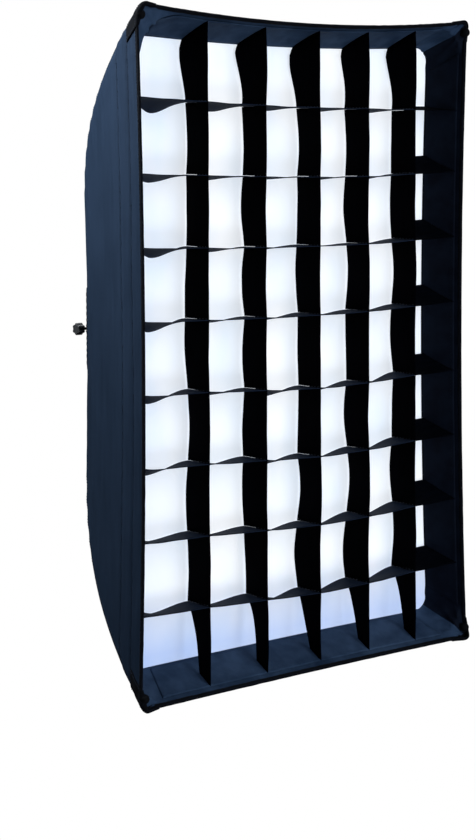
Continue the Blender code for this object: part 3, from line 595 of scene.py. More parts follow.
def drape(side, a, depth):
    """Relief of the outer fabric: slack, seam puckers and the stitched lines behind the lip."""
    reach, length = reach_and_length(side)
    place = a * length(depth)
    seed = 7.0 * SIDES.index(side)
    from_seam = (1 - abs(a)) * length(depth)
    slack = rough(place * 5, depth * 7, seed) * 0.0022
    slack += rough(place * 14, depth * 17, seed + 3) * 0.0008
    fine = rough(place * 60, depth * 16, seed + 5) * 0.00025
    relief = (slack + fine) * ease(from_seam / 0.05) * ease(depth / 0.02)
    relief *= ease((SHELL_DEPTH - depth) / 0.03)
    corner = corner_of(side, 1 if a >= 0 else -1)
    phase = 2.1 * list(CORNERS).index(corner)
    wave = math.sin(depth * TAU / 0.023 + phase + 2 * rough(depth * 9, phase, 0))
    relief += 0.0009 * wave * math.exp(-from_seam / 0.018) * ease(from_seam / 0.008)
    lip = ease(depth / 0.02) * ease((0.11 - depth) / 0.03) * ease(from_seam / 0.012)
    floor = 0.0013 * lip - 0.0003 - 0.02 * max(0.0, depth - TAPE_END - 0.004)
    relief = max(relief + 0.0010 * lip, floor)      # clear of the lip's inner layers
    for line in SEAM_DEPTHS:
        relief -= 0.0012 * groove(depth - line, 0.0022)
        pucker = math.sin(place * TAU / 0.019 + seed + 3 * rough(place * 8, seed, 1))
        relief += 0.00035 * pucker * groove(depth - line, 0.009)
    between = ease((depth - SEAM_DEPTHS[0]) / 0.012) * ease((SEAM_DEPTHS[1] - depth) / 0.012)
    relief += 0.0012 * between
    gather = math.sin(place * TAU / 0.0115 + 2 * rough(place * 20, seed, 2))
    hem = ease((SHELL_DEPTH - depth) / 0.006)
    relief += 0.0007 * gather * hem * groove(SHELL_DEPTH - depth, 0.030) * ease(from_seam / 0.01)
    edge = math.sin(place * TAU / 0.024 + seed + 4 * rough(place * 6, seed, 3))
    relief += 0.0006 * edge * math.exp(-depth / 0.014) * ease(depth / 0.004)
    return relief


# ---- building blocks

def spaced(low, high, steps):
    return [low + (high - low) * i / steps for i in range(steps + 1)]


def crowded(steps):
    """From -1 to 1, closer together at both ends."""
    return [math.sin(math.pi / 2 * t) for t in spaced(-1, 1, steps)]


def put(mesh, name, looks, body, replaced=(), place=Matrix.Identity(4)):
    """Add a piece at its place, on its body, in place of the CAD nodes that it replaces."""
    made = add_object(name, mesh)
    made.matrix_world = place
    for look in looks if isinstance(looks, list) else [looks]:
        mesh.materials.append(look)
    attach(made, body)
    if replaced:
        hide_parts(*replaced)
    return made


def mesh_from(bm, name):
    for face in bm.faces:
        face.smooth = True
    mesh = bpy.data.meshes.new(name)
    bm.to_mesh(mesh)
    bm.free()
    return mesh


def from_axis(point):
    return Vector((point.x, 0, point.z))


def to_axis(point):
    return -from_axis(point)


def forwards(point):
    return Vector((0, -1, 0))


def raised(point, height):
    return point + from_axis(point).normalized() * height


def cloth(name, us, vs, shape, looks, body, replaced=(), thick=0.0005, outward=from_axis,
          offset=-1, keep=None, index=None, closed=False):
    """A sheet through shape(u, v), thickened away from outward, or by its offset of 0 or 1."""
    bm = bmesh.new()
    grid = [[bm.verts.new(shape(u, v)) for v in vs] for u in us]
    count = len(us)
    for i in range(count if closed else count - 1):
        k = (i + 1) % count
        for j in range(len(vs) - 1):
            u = us[i] if closed else (us[i] + us[k]) / 2
            v = (vs[j] + vs[j + 1]) / 2
            if keep and not keep(u, v):
                continue
            face = bm.faces.new((grid[i][j], grid[k][j], grid[k][j + 1], grid[i][j + 1]))
            if index:
                face.material_index = index(u, v)
    loose = [vert for vert in bm.verts if not vert.link_faces]
    bmesh.ops.delete(bm, geom=loose, context="VERTS")
    bm.normal_update()
    bm.faces.ensure_lookup_table()
    middle = bm.faces[len(bm.faces) // 2]
    if middle.normal.dot(outward(middle.calc_center_median())) < 0:
        bmesh.ops.reverse_faces(bm, faces=bm.faces)
    made = put(mesh_from(bm, name), name, looks, body, replaced)
    step = made.modifiers.new("thickness", "SOLIDIFY")
    step.thickness = thick
    step.offset = offset
    return made


def skin(bm, rings):
    """Faces between each ring of vertices and the next."""
    for first, second in zip(rings, rings[1:]):
        for i in range(len(first)):
            j = (i + 1) % len(first)
            bm.faces.new((first[i], first[j], second[j], second[i]))


def swept(name, stations, profile, point, looks, body, replaced=()):
    """A closed band: the closed profile of (depth, inside) pairs carried round the stations."""
    bm = bmesh.new()
    rings = [[bm.verts.new(point(station, depth, inside)) for depth, inside in profile]
             for station in stations]
    skin(bm, rings + rings[:1])
    bmesh.ops.recalc_face_normals(bm, faces=bm.faces)
    return put(mesh_from(bm, name), name, looks, body, replaced)


def round_trip(per_side=72):
    """Stations (side, a) once round the shell, seen from the front."""
    stations = []
    for side, direction in (("bottom", 1), ("right", 1), ("top", -1), ("left", -1)):
        stations += [(side, direction * a) for a in crowded(per_side)[:-1]]
    return stations


def tube(name, points, radius, look, replaced=(), sides=3):
    """A round strand through points, with closed ends; every one is on the box."""
    curve = bpy.data.curves.new(name, "CURVE")
    curve.dimensions = "3D"
    curve.bevel_depth = radius
    curve.bevel_resolution = sides
    curve.use_fill_caps = True
    line = curve.splines.new("POLY")
    line.points.add(len(points) - 1)
    for point, co in zip(line.points, points):
        point.co = (*co, 1)
    line.use_smooth = True
    return put(curve, name, look, "box", replaced)


def stitching(name, stitches, look, body, length=0.0030, radius=0.00042):
    """Many small thread stitches in one mesh; each is (centre, direction, normal)."""
    bm = bmesh.new()
    outline = ((-0.5, 0.25), (-0.36, 0.8), (0.0, 1.0), (0.36, 0.8), (0.5, 0.25))
    for centre, direction, normal in stitches:
        along = direction.normalized()
        up = (normal - along * normal.dot(along)).normalized()
        across = along.cross(up)
        rings = []
        for t, fat in outline:
            middle = centre + along * (t * length) + up * (0.6 * radius * (1 - 4 * t * t))
            spokes = [across * math.cos(TAU * i / 5) + up * math.sin(TAU * i / 5) for i in range(5)]
            rings.append([bm.verts.new(middle + spoke * (radius * fat)) for spoke in spokes])
        skin(bm, rings)
        bm.faces.new(rings[0][::-1])
        bm.faces.new(rings[-1])
    bmesh.ops.recalc_face_normals(bm, faces=bm.faces)
    return put(mesh_from(bm, name), name, look, body)


def stitch_run(points, pitch, normal=from_axis):
    """Stitches every pitch along a line of points."""
    found = []
    carry = pitch / 2
    for point, following in zip(points, points[1:]):
        step = following - point
        size = step.length
        while carry < size:
            found.append((point.lerp(following, carry / size), step, normal(point)))
            carry += pitch
        carry -= size
    return found


# ---- fabric box

def shell_panel(side):
    """Outer nylon, with the darker copy of the facing nylon inside the lip as painted shade, and silver
    behind the diffuser.
    """
    reach = reach_and_length(side)[0]

    def shape(a, depth):
        return shell_point(side, a, depth, -drape(side, a, depth))

    depths = (spaced(0, 0.03, 8) + spaced(0.032, 0.046, 7) + spaced(0.050, 0.070, 5)
              + spaced(0.0735, 0.0855, 7) + spaced(0.092, 0.37, 34) + spaced(0.376, SHELL_DEPTH, 5))

    panel = cloth(f"shell_panel_{side}_cloth", crowded(110), depths, shape,
                  [SHELL, SHELL, SILVER, FACING_PAINTED_SHADE], "box",
                  [f"shell_panel_{side}"], SHELL_THICK,
                  index=lambda a, depth: int(depth < DIFFUSER_DEPTH))
    panel.modifiers["thickness"].material_offset = 2
    deep = reach(0) - reach(SHELL_DEPTH)
    length = reach_and_length(side)[1]
    flat_depth = math.hypot(SHELL_DEPTH, deep)
    area = flat_depth * (length(0) + length(SHELL_DEPTH)) * PANEL_AREA
    2 * length(0)


def facing_fold(side, a, depth):
    """Folds of the facing that fan out from the corners of the lip."""
    corner = corner_of(side, 1 if a >= 0 else -1)
    run = (1 - abs(a)) * side_length(side, depth, sleeve_round)[a >= 0]
    fan = math.atan2(run + 0.004, depth + 0.012)
    phase = FOLD_PHASE[corner]
    wobble = rough(run * 40, depth * 40, phase)
    crest = 0.5 + 0.5 * math.sin(fan * 13 + phase + 1.6 * wobble)
    return FOLD_HEIGHT[corner] * crest ** 2 * groove(run - 0.006, 0.020) * ease(run / 0.004)


def lip_facing(side):
    """Inner side of the lip, from the bound edge to the diffuser."""

    def shape(a, depth):
        return shell_point(side, a, depth, FACING_IN + facing_fold(side, a, depth), sleeve_round)

    # The right lip takes the darker copy of the facing nylon: painted shade.
    look = FACING_PAINTED_SHADE if side == "right" else FACING
    facing = cloth(f"lip_facing_{side}", crowded(120),
                   spaced(0.0006, 0.0090, 10) + spaced(0.0115, FACING_END, 18), shape, look,
                   "box", (), 0.0003, to_axis, 1)
    width = 2 * reach_and_length(side)[1](0)


def front_binding():
    """Tape folded over the raw front edge: a narrow channel with a rounded nose."""
    profile = [(0.0062, -0.0008), (0.0050, -0.0010), (0.0015, -0.0011), (-0.0006, -0.0008),
               (-0.0013, 0.0000), (-0.0015, 0.0009), (-0.0012, 0.0018), (-0.0004, 0.0023),
               (0.0008, 0.0025), (0.0024, 0.0024), (0.0026, 0.0020), (0.0010, 0.0020),
               (0.0001, 0.0017), (-0.0005, 0.0009), (-0.0001, -0.0001), (0.0015, -0.0006),
               (0.0061, -0.0003)]
    stations = round_trip(96)

    def point(station, depth, inside):
        side, a = station
        ripple = 0.0004 * rough(a * 30, SIDES.index(side), depth * 200)
        return shell_point(side, a, depth, inside + ripple)

    swept("front_binding_tape", stations, profile, point, BLACK_TAPE, "box",
          ["front_binding"])
    around = [shell_point(side, a, 0.0042, -0.00125) for side, a in stations]
    stitching("binding_stitches", stitch_run(around + around[:1], 0.0048), THREAD, "box")


def panel_seams():
    """Rows of stitching behind the lip, and the felled seams over the rods."""
    stitches = []
    for line in SEAM_DEPTHS:
        for side in SIDES:
            row = [shell_point(side, a, line + 0.0016, 0.0001 - drape(side, a, line + 0.0016))
                   for a in spaced(-0.985, 0.985, 150)]
            stitches += stitch_run(row, 0.0052)
    stitching("lip_seam_stitches", stitches, THREAD, "box", 0.0032, 0.0004)
    rows = []
    for corner, (sx, sz) in CORNERS.items():
        points = []
        for depth in spaced(0.033, SHELL_DEPTH - 0.002, 90):
            wobble = 0.0002 * rough(depth * 60, sx, sz)
            points.append(section(*sides_at(corner)[0], 0.0, depth, 0.0001 + wobble))
        tube(f"corner_welt_{corner}", points, 0.0011, BLACK_TAPE)
        for side, sign in sides_at(corner):
            row = []
            for depth in spaced(0.036, SHELL_DEPTH - 0.006, 110):
                a = sign * (1 - CORNER_SEAM / side_length(side, depth)[0])
                row.append(section(side, sign, CORNER_SEAM, depth, 0.0001 - drape(side, a, depth)))
            rows += stitch_run(row, 0.0050)
    stitching("corner_seam_stitches", rows, THREAD, "box", 0.0031, 0.0004)


def rear_collar():
    """Elastic hem, gathered round the ring."""
    radius = COLLAR_CORNER

    def loop_point(t, y, grow):
        """t from 0 to 1 once round a rounded square."""
        half = REAR_HALF + grow
        straight = 2 * (half - radius)
        arc = radius * math.pi / 2
        quarter, along = divmod(t * 4 * (straight + arc), straight + arc)
        if along < straight:
            point = Vector((half, along - straight / 2))
        else:
            angle = (along - straight) / radius
            point = Vector((half - radius + radius * math.cos(angle),
                            half - radius + radius * math.sin(angle)))
        turn = Matrix.Rotation(math.radians(90) * quarter, 2)
        point = turn @ point
        return Vector((point.x, y, point.y))

    def shape(t, v):
        y = COLLAR_FRONT_Y + v * COLLAR_WIDTH
        gathers = math.sin(t * TAU * COLLAR_GATHERS + 2 * rough(t * 40, v, 0))
        grow = 0.00028 * gathers + 0.0007 * math.sin(v * math.pi)
        grow -= 0.0024 * ease((v - 0.82) / 0.18)
        return loop_point(t, y, grow)

    def clear_of_lock(t, v):
        point = shape(t, v)
        return abs(point.x) < REAR_HALF - 0.004 or math.hypot(point.y - LOCK_Y, point.z) > COLLAR_SLOT

    ts = [i / 620 for i in range(620)]
    collar = cloth("rear_collar_elastic", ts, spaced(0, 1, 28), shape, ELASTIC, "box",
                   ["rear_collar"], 0.0012, keep=clear_of_lock, closed=True)
    for name, start in (("right", 0.0), ("left", 0.5)):
        rim = []
        for angle in spaced(math.radians(75), math.radians(285), 30):
            y = LOCK_Y + COLLAR_SLOT * math.cos(angle)
            along = COLLAR_SLOT * math.sin(angle) + REAR_HALF - radius
            t = start + along / (8 * (REAR_HALF - radius) + TAU * radius)
            rim.append(shape(t, (y - COLLAR_FRONT_Y) / COLLAR_WIDTH))
        tube(f"collar_notch_rim_{name}", rim, 0.0008, BLACK_TAPE)
    for v, name in ((0.30, "front"), (0.72, "rear")):
        row = [shape(t, v) for t in ts]
        stitches = stitch_run(row + row[:1], 0.0046)
        stitching(f"collar_stitches_{name}", stitches, THREAD, "box", 0.0028, 0.0004)


def corner_pocket(corner):
    """Doubled cloth that wraps a corner of the lip and hoods the rod's end."""
    sx, sz = CORNERS[corner]
    upright, level = sides_at(corner)
    reach = 0.027
    open_front = corner == "tr"
    back = 0.0335

    def shape(t, v):
        side, sign = upright if t < 0 else level
        run = abs(t)
        if v < 0:
            swing = -v * math.radians(82)
            nose = 0.0105 * groove(run, 0.024)
            depth = -nose * math.sin(swing)
            inside = -0.0018 + 0.0105 * (1 - math.cos(swing)) * groove(run, 0.03)
        else:
            depth = back * v
            a = sign * (1 - run / side_length(side, depth)[0])
            proud = 0.0018 - 0.0004 * v + max(0.0, drape(side, a, depth))
            inside = -proud - 0.0002 * rough(t * 70, v * 3, sx + 2 * sz)
        return section(side, sign, run, depth, inside)

    low = -0.15 if open_front else -1.0
    patch = cloth(f"corner_pocket_{corner}_cloth", spaced(-reach, reach, 44),
                  spaced(low, 0, 10)[:-1] + spaced(0, 1, 14), shape, PATCH, "box",
                  [f"corner_pocket_{corner}"], 0.0010)
    edge = reach - 0.002
    lines = [[(t, v) for t in spaced(-edge, edge, 30)] for v in (0.06, 0.94)]
    lines += [[(t, v) for v in spaced(0.06, 0.94, 12)] for t in (-edge, edge)]
    rows = []
    for line in lines:
        rows += stitch_run([raised(shape(t, v), 0.0002) for t, v in line], 0.0036)
    look = PALE_THREAD if corner == "br" else THREAD
    stitching(f"corner_pocket_{corner}_stitches", rows, look, "box", 0.0024, 0.0004)


def lip_tapes():
    """Hook tape sewn inside the lip, and the loop tape of the diffuser that sticks to it."""
    stations = round_trip(40)

    def point(station, depth, inside):
        side, a = station
        return shell_point(side, a, depth, inside, sleeve_round)

    for name, body, slot, near, far, node in (
            ("lip_hook_tape_loop", "box", "webbing", 0.0018, 0.0027, "lip_hook_tape"),
            ("diffuser_tape_loop", "diffuser", "webbing", 0.0032, 0.0041, "diffuser_loop_tape")):
        start, end = TAPE_START + 0.0008, TAPE_END
        profile = [(start, near), (start, far), (end, far), (end, near)]
        swept(name, stations, profile, point, HOOK_TAPE, body, [node])


# ---- grid

def column_x(i):
    return GRID_SHIFT_X + (i - (GRID_COLUMNS - 1) / 2) * GRID_PITCH_X + COLUMN_DRIFT[i]


def row_z(j):
    return GRID_SHIFT_Z + ((GRID_ROWS - 1) / 2 - j) * GRID_PITCH_Z


random.seed(5)
CROSSING = [[(random.uniform(-0.0022, 0.0022), random.uniform(-0.0008, 0.0008))
             for _ in range(GRID_ROWS)] for _ in range(GRID_COLUMNS)]
SWAY = [[random.uniform(-1, 1) for _ in range(GRID_ROWS + 1)] for _ in range(GRID_COLUMNS)]
SAG = [[random.uniform(0.45, 1) for _ in range(GRID_COLUMNS + 1)] for _ in range(GRID_ROWS)]
LEAN = [[random.uniform(0.22, 0.42) for _ in range(GRID_COLUMNS + 1)] for _ in range(GRID_ROWS)]
COLUMNS = [column_x(i) for i in range(GRID_COLUMNS)]
ROWS_UP = [row_z(j) for j in reversed(range(GRID_ROWS))]
CELL_SAG = (0.0185, 0.0100, 0.0075, 0.0060, 0.0060, 0.0)   # of a cross strip's back edge, by cell
CELL_SAG_LOW = 0.55         # share of the first one in the two lowest cross strips
WALL_RISE = (0.006, 0.023, 0.024, 0.023, 0.022, 0.021, 0.024, 0.020)   # at the right wall, by row
TOP_FLARE = (0.009, 0.016, 0.013, 0.011, 0.015)   # of an upright's back edge in the top cell
SWAY_SHARE = (0.5, 1, 1, 1, 1)
LOW_SAG = 0.0065            # of the four low cross strips
LOW_DROOP = (0.0, 0.002, 0.006, 0.007, 0.006, 0.0)   # more of it at their back edges, by cell


def lift(j, x):
    """Cross strips hang higher towards the left wall, and the low ones sag right of the middle."""
    rise = (0.010 if j == 0 else 0.0072) * max(0.0, -x / FRONT_HALF_W) ** 1.3
    if j > 3:
        rise -= LOW_SAG * math.sin(math.pi * clamp((x + 0.13) / 0.36))
    elif j > 0:
        rise += 0.0065 * max(0.0, (x - 0.12) / 0.18)
    return rise


def between(value, stops):
    """Index of the stop below value, and how far value is on to the next stop, from 0 to 1."""
    for k in range(len(stops) - 1):
        if value <= stops[k + 1] or k == len(stops) - 2:
            return k, clamp((value - stops[k]) / (stops[k + 1] - stops[k]))


def back_share(depth):
    """0 at a strip's front edge and 1 at its back edge."""
    return max(0.0, (depth - GRID_START) / GRID_WIDTH) ** 1.4


def upright_place(i, z, depth):
    """Where a point of an upright strip lies; z is its place along the strip before it sways."""
    x = COLUMNS[i]
    ends = span(("bottom", "top"), x, depth)
    k, t = between(z, [ends[0]] + ROWS_UP + [ends[1]])
    offsets = [(0, 0, 0)] + [(*CROSSING[i][j], lift(j, x)) for j in reversed(range(GRID_ROWS))]
    low, high = (offsets + [(0, 0, 0)])[k:k + 2]
    far = back_share(depth)
    dx = (low[0] + (high[0] - low[0]) * ease(t)) * far
    dz = (low[1] + (high[1] - low[1]) * t) * far + low[2] + (high[2] - low[2]) * t
    swell = math.sin(math.pi * t) ** 1.2
    dx += SWAY[i][k] * SWAY_SHARE[i] * swell * (0.0060 * far + 0.0020 * (1 - far))
    dx += 0.0008 * rough(z * 30, depth * 40, i * 5.0) * swell
    if k == GRID_ROWS:      # the top cell's back edge stands out, less so where it meets the lip
        dx -= TOP_FLARE[i] * far * (ease(t / 0.8) * (1 - 0.42 * ease((t - 0.87) / 0.13)))
    return Vector((x + dx, FRONT_Y + depth, z + dz))


def upright_end(z, foot_z):
    """Depth of the back edge: the strip narrows below the lowest cross strip."""
    lowest = ROWS_UP[0] - 0.004
    t = (lowest - z) / (lowest - foot_z)
    return GRID_END - (GRID_END - GRID_FOOT) * clamp(t) ** 0.62


def strip_samples(stops, per_cell):
    """Places along a strip, with a pair of them at each slot's edges."""
    found = []
    last = len(stops) - 2
    for k in range(last + 1):
        low = stops[k] + (HALF_SLOT if k else 0)
        high = stops[k + 1] - (HALF_SLOT if k < last else 0)
        found += spaced(low, high, per_cell)
    return found


def clear_of(place, stops):
    return all(abs(place - stop) > HALF_SLOT * 0.9 for stop in stops)


def follow_ends(place, stops, ends, moved):
    """A place in an end cell moves with the wall there, from ends to moved."""
    first, last = stops[0], stops[-1]
    if place < first:
        return first - (first - place) * (first - moved[0]) / (first - ends[0])
    if place > last:
        return last + (place - last) * (moved[1] - last) / (ends[1] - last)
    return place


MID_SHARE = (GRID_MID - GRID_START) / GRID_WIDTH
STRIP_SHARES = spaced(0, MID_SHARE, 7) + spaced(MID_SHARE, 1, 7)[1:]


def grid_vertical(i):
    foot, head = span(("bottom", "top"), COLUMNS[i], GRID_START)

    def shape(z, f):
        depth = GRID_START + f * (upright_end(z, foot) - GRID_START)
        here = span(("bottom", "top"), COLUMNS[i], depth)
        return upright_place(i, follow_ends(z, ROWS_UP, (foot, head), here), depth)

    def keep(z, f):
        return f < MID_SHARE or clear_of(z, ROWS_UP)

    # The uprights take the darkest copy of the grid nylon: painted shade.
    strip = cloth(f"grid_vertical_{i + 1}_cloth", strip_samples([foot] + ROWS_UP + [head], 14),
                  STRIP_SHARES, shape, UPRIGHT_PAINTED_SHADE, "grid", [f"grid_vertical_{i + 1}"],
                  0.0009, lambda p: Vector((1, 0, 0)), 0, keep)


def grid_horizontal(j):
    z = row_z(j)
    start, end = span(("left", "right"), z, GRID_START)
    offsets = ([(0, 0, lift(j, start))]
               + [(*CROSSING[i][j], lift(j, COLUMNS[i])) for i in range(GRID_COLUMNS)]
               + [(0, 0, lift(j, end))])

    def shape(x, f):
        depth = GRID_START + f * GRID_WIDTH
        k, t = between(x, [start] + COLUMNS + [end])
        first, second = offsets[k:k + 2]
        far = back_share(depth)
        dx = (first[0] + (second[0] - first[0]) * t) * far
        dz = (first[1] + (second[1] - first[1]) * ease(t)) * far
        dz += first[2] + (second[2] - first[2]) * t
        x = follow_ends(x, COLUMNS, (start, end), span(("left", "right"), z, depth))
        peak = LEAN[j][k]
        swell = ease(t / peak) if t < peak else ease((1 - t) / (1 - peak))
        drop = SAG[j][k] * CELL_SAG[k] * (CELL_SAG_LOW if k == 0 and j > 5 else 1)
        if j > 3:
            drop += LOW_DROOP[k]
        dz -= swell * (drop * far + 0.0006 * (1 - far))
        if k == GRID_COLUMNS:
            dz += WALL_RISE[j] * ease(t / 0.75) * far ** 0.8
        dz += 0.0008 * rough(x * 28, depth * 35, 9.0 + j) * swell
        return Vector((x + dx, FRONT_Y + depth, z + dz))

    def keep(x, f):
        return f > MID_SHARE or clear_of(x, COLUMNS)

    # Right of the last upright the cross strips take their darker copy: painted shade.
    strip = cloth(f"grid_horizontal_{j + 1}_cloth", strip_samples([start] + COLUMNS + [end], 18),
                  STRIP_SHARES, shape, [CROSS, CROSS_PAINTED_SHADE], "grid",
                  [f"grid_horizontal_{j + 1}"], 0.0009, lambda p: Vector((0, 0, 1)), 0, keep,
                  lambda x, f: int(x > COLUMNS[-1]))


def grid_stitches():
    """Running stitches that close each half-lap joint, on both faces of the upright."""
    stitches = []
    for i in range(GRID_COLUMNS):
        for j in range(GRID_ROWS):
            for face in (-1, 1):
                out = Vector((face, 0, 0))
                row = [upright_place(i, row_z(j) + 0.0016, depth) + out * 0.0006
                       for depth in spaced(GRID_START + 0.002, GRID_END - 0.002, 8)]
                stitches += stitch_run(row, 0.0062, lambda p: out)
    stitching("grid_joint_stitches", stitches, PALE_THREAD, "grid", 0.0028, 0.00034)


def grid_band(side):
    """Border of the grid that sticks to the inside of the lip."""
    length = reach_and_length(side)[1]

    def shape(a, v):
        depth = GRID_START + GRID_WIDTH * v
        across = a * (length(depth) - BAND_CUT)
        sign = 1 if a >= 0 else -1
        radius = sleeve_round(corner_of(side, sign), depth)
        run = length(depth) - abs(across) - radius * (1 - math.pi / 4)
        place = sign * (1 - run / side_length(side, depth, sleeve_round)[a >= 0])
        fold = facing_fold(side, place, depth)
        ripple = 0.0005 * rough(across * 25, depth * 30, SIDES.index(side))
        hem = 0.0005 * (groove(v - 0.03, 0.07) + groove(v - 0.97, 0.07))
        tuck = ease((abs(a) - 0.97) / 0.03)         # the ends lie flat on the facing
        lift_off = 0.0005 + (hem + ripple) * (1 - tuck) - 0.0004 * tuck
        return section(side, sign, run, depth, BAND_IN + lift_off + fold, sleeve_round)

    # The right lip takes the darker copy of the facing nylon: painted shade.
    look = FACING_PAINTED_SHADE if side == "right" else FACING
    band = cloth(f"grid_band_{side}_cloth", spaced(-1, 1, 150), spaced(0, 1, 16), shape, look,
                 "grid", [f"grid_band_{side}"], 0.0006, to_axis, 1)
    2 * (length(0.03) - BAND_CUT)
    rows = []
    for v in (0.10, 0.90):
        row = [raised(shape(a, v), -0.0002) for a in spaced(-0.99, 0.99, 90)]
        rows += stitch_run(row, 0.0052, to_axis)
    stitching(f"grid_band_{side}_stitches", rows, THREAD, "grid", 0.0030, 0.00036)


# ---- diffuser and baffle

def front_diffuser():
    """White cloth, drawn taut by its tape all round."""

    def reaches(u, v):
        sides = "right" if u > 0 else "left", "top" if v > 0 else "bottom"
        across = v * half_height(DIFFUSER_DEPTH), u * half_width(DIFFUSER_DEPTH)
        return [wall_reach(side, place, DIFFUSER_DEPTH, DIFFUSER_IN)
                for side, place in zip(sides, across)]

    def shape(u, v):
        x_reach, z_reach = reaches(u, v)
        x, z = u * x_reach, v * z_reach
        over_x = abs(x) - (x_reach - DIFFUSER_CORNER)
        over_z = abs(z) - (z_reach - DIFFUSER_CORNER)
        if over_x > 0 and over_z > 0:       # squeeze the square corner into a round one
            squeeze = max(over_x, over_z) / math.hypot(over_x, over_z)
            x -= math.copysign(over_x * (1 - squeeze), x)
            z -= math.copysign(over_z * (1 - squeeze), z)
        edge = min((1 - abs(u)) * 0.28, (1 - abs(v)) * 0.43)
        pull = math.sin((x + z) * TAU / 0.021 + 5 * rough(x * 7, 0, z * 7))
        y = 0.0008 * pull * math.exp(-edge / 0.016)
        y += 0.0016 * rough(x * 9, 4.0, z * 5)
        y += 0.0007 * rough(x * 45, 9.0, z * 6)
        return Vector((x, FRONT_Y + DIFFUSER_DEPTH + 0.0008 + y * ease(edge / 0.014), z))

    # The sheet carries the painted glow and painted shade of its cloth.
    sheet = cloth("front_diffuser_cloth", crowded(110), crowded(150), shape, WHITE_CLOTH_PAINTED_GLOW,
                  "diffuser", ["front_diffuser"], 0.0005, forwards)
    2 * half_width(DIFFUSER_DEPTH)
    2 * half_height(DIFFUSER_DEPTH)


def inner_baffle():
    """Second layer of diffusion cloth, hung from the rods by four elastic straps."""

    def shape(u, v):
        x, z = u * BAFFLE_HALF_W, v * BAFFLE_HALF_H
        over = abs(x) + abs(z) - (BAFFLE_HALF_W + BAFFLE_HALF_H - BAFFLE_CUT)
        if over > 0:
            x -= math.copysign(over / 2, x)
            z -= math.copysign(over / 2, z)
        waist = 0.006 * (1 - v * v) * u
        rise = 0.006 * (1 - u * u) * v
        edge = min((1 - abs(u)) * BAFFLE_HALF_W, (1 - abs(v)) * BAFFLE_HALF_H)
        y = 0.0025 * rough(x * 9, 2.0, z * 7)
        y += 0.0012 * math.sin((x - z) * TAU / 0.04) * math.exp(-edge / 0.03)
        hem = 0.0004 * groove(edge - 0.008, 0.002)
        return Vector((x - waist, FRONT_Y + BAFFLE_DEPTH + y * 0.6 + hem, z - rise))

    sheet = cloth("inner_baffle_cloth", crowded(64), crowded(96), shape, BAFFLE_CLOTH_PAINTED_GLOW, "baffle",
                  ["inner_baffle"], 0.0006, forwards)


def baffle_strap(corner):
    sx, sz = CORNERS[corner]
    rod = rod_bend(BAFFLE_DEPTH)
    start = Vector((BAFFLE_HALF_W - BAFFLE_CUT / 2 - 0.004, BAFFLE_HALF_H - BAFFLE_CUT / 2 - 0.004))
    end = Vector((rod.x - 0.0040, rod.z - 0.0040))
    run = (end - start).normalized()
    across = Vector((-run.y, run.x))

    def shape(u, v):
        middle = start.lerp(end, v)
        width = STRAP_WIDTH / 2 - 0.0020 * v + 0.0003 * math.sin(v * 60)
        flat = middle + across * (u * width)
        y = 0.0009 * math.sin(v * math.pi) + 0.0006 * math.sin(v * 9 + u) * v * (1 - v)
        return Vector((sx * flat.x, FRONT_Y + BAFFLE_DEPTH + 0.0008 + y, sz * flat.y))

    strap = cloth(f"baffle_strap_{corner}_elastic", spaced(-1, 1, 8), spaced(0, 1, 40), shape,
                  ELASTIC, "baffle", [f"baffle_strap_{corner}"], 0.0012, forwards)


# ---- rods

def on_corner(point, corner):
    sx, sz = CORNERS[corner]
    return Vector((sx * point.x, point.y, sz * point.z))


def rod_offsets(depth):
    near = max(0.0, 1 - depth / ROD_TIP_SPAN) ** 2
    rear = ROD_IN + ROD_IN_REAR * max(0.0, depth / SHELL_DEPTH) ** 3
    return rear - ROD_TIP_OUT * near, rear + ROD_TIP_DOWN * near


def rod_bend(depth):
    in_x, in_z = rod_offsets(depth)
    return Vector((half_width(depth) - in_x, FRONT_Y + depth, half_height(depth) - in_z))


def spring_rod(corner):
    """Rod from its ball cap to its ferrule, as one smooth bend and a straight root."""
    points = [rod_bend(depth) for depth in spaced(TIP_DEPTH + 0.0035, ROD_BEND_END, 70)]
    back = (points[-1] - rod_bend(ROD_BEND_END - 0.002)).normalized()
    low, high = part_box(f"rod_{corner}")
    reach = (high.y - points[-1].y) / back.y
    points.append(points[-1] + back * (reach - 0.001))
    tube(f"rod_{corner}_steel", [on_corner(point, corner) for point in points], ROD_RADIUS, SPRING,
         [f"rod_{corner}"], 4)


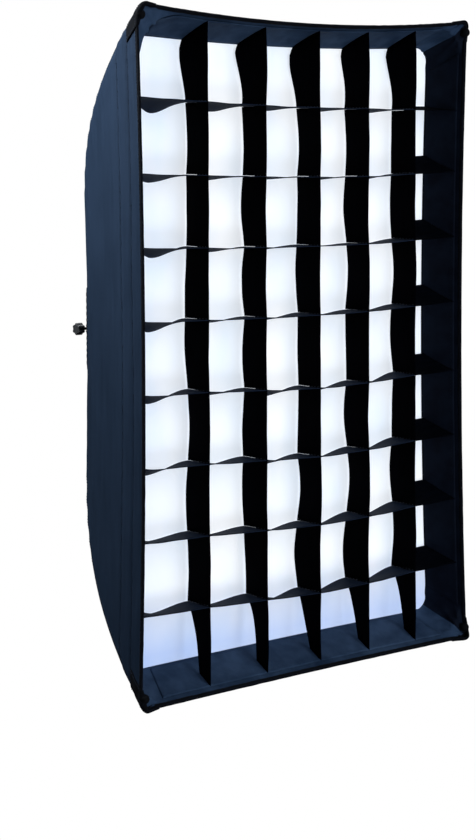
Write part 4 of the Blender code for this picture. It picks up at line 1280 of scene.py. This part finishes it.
def rod_tip(corner):
    """Moulded ball with a parting line and a short neck, turned about local Z."""
    centre = rod_bend(TIP_DEPTH)
    forward = on_corner(centre - rod_bend(TIP_DEPTH + 0.006), corner).normalized()
    bore = ROD_RADIUS + 0.0004
    profile = [(0.0, TIP_RADIUS)]
    for i in range(1, 25):
        angle = math.radians(90 - 155 * i / 24)
        radius = TIP_RADIUS + 0.00018 * groove(angle, 0.06)
        profile.append((radius * math.cos(angle), radius * math.sin(angle)))
    profile += [(0.0042, -0.0070), (bore, -0.0070), (bore, 0.0), (0.0, 0.0)]
    mesh = bpy.data.meshes.new(f"rod_tip_{corner}_ball")
    edges = [(i, i + 1) for i in range(len(profile) - 1)]
    mesh.from_pydata([(radius, 0, height) for radius, height in profile], edges, [])
    made = put(mesh, f"rod_tip_{corner}_ball", RUBBER, "box", [f"rod_tip_{corner}"],
               aimed(on_corner(centre, corner), forward, "Z"))
    step = made.modifiers.new("turn", "SCREW")
    step.steps = step.render_steps = 40
    step.use_merge_vertices = True
    step.merge_threshold = 0.00001
    step.use_smooth_shade = True


# ---- carried-over CAD pieces

def dress_frame():
    """The machined and moulded CAD solids keep their shape, and get finished materials."""
    steel = ["bayonet_insert", "retaining_ring"] + [f"ring_screw_{number}" for number in (1, 2, 3)]
    steel += [f"rod_{part}_{corner}" for corner in CORNERS for part in ("socket", "ferrule")]
    finishes = {**dict.fromkeys(steel, STEEL), "ring_body": CAST,
                "lock_knob_left": PLASTIC, "lock_knob_right": PLASTIC}
    for name, look in finishes.items():
        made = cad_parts[name]
        if not made.material_slots:
            made.data.materials.append(look)
        for slot in made.material_slots:
            slot.material = look
        edge = made.modifiers.new("edge", "BEVEL")
        edge.width = 0.0004
        edge.segments = 2
        edge.limit_method = "ANGLE"
        edge.angle_limit = math.radians(40)


# ---- assembly

for wall in SIDES:
    shell_panel(wall)
    lip_facing(wall)
    grid_band(wall)
front_binding()
panel_seams()
rear_collar()
lip_tapes()
for place_name in CORNERS:
    corner_pocket(place_name)
    baffle_strap(place_name)
    spring_rod(place_name)
    rod_tip(place_name)
for number in range(GRID_COLUMNS):
    grid_vertical(number)
for number in range(GRID_ROWS):
    grid_horizontal(number)
grid_stitches()
front_diffuser()
inner_baffle()
dress_frame()
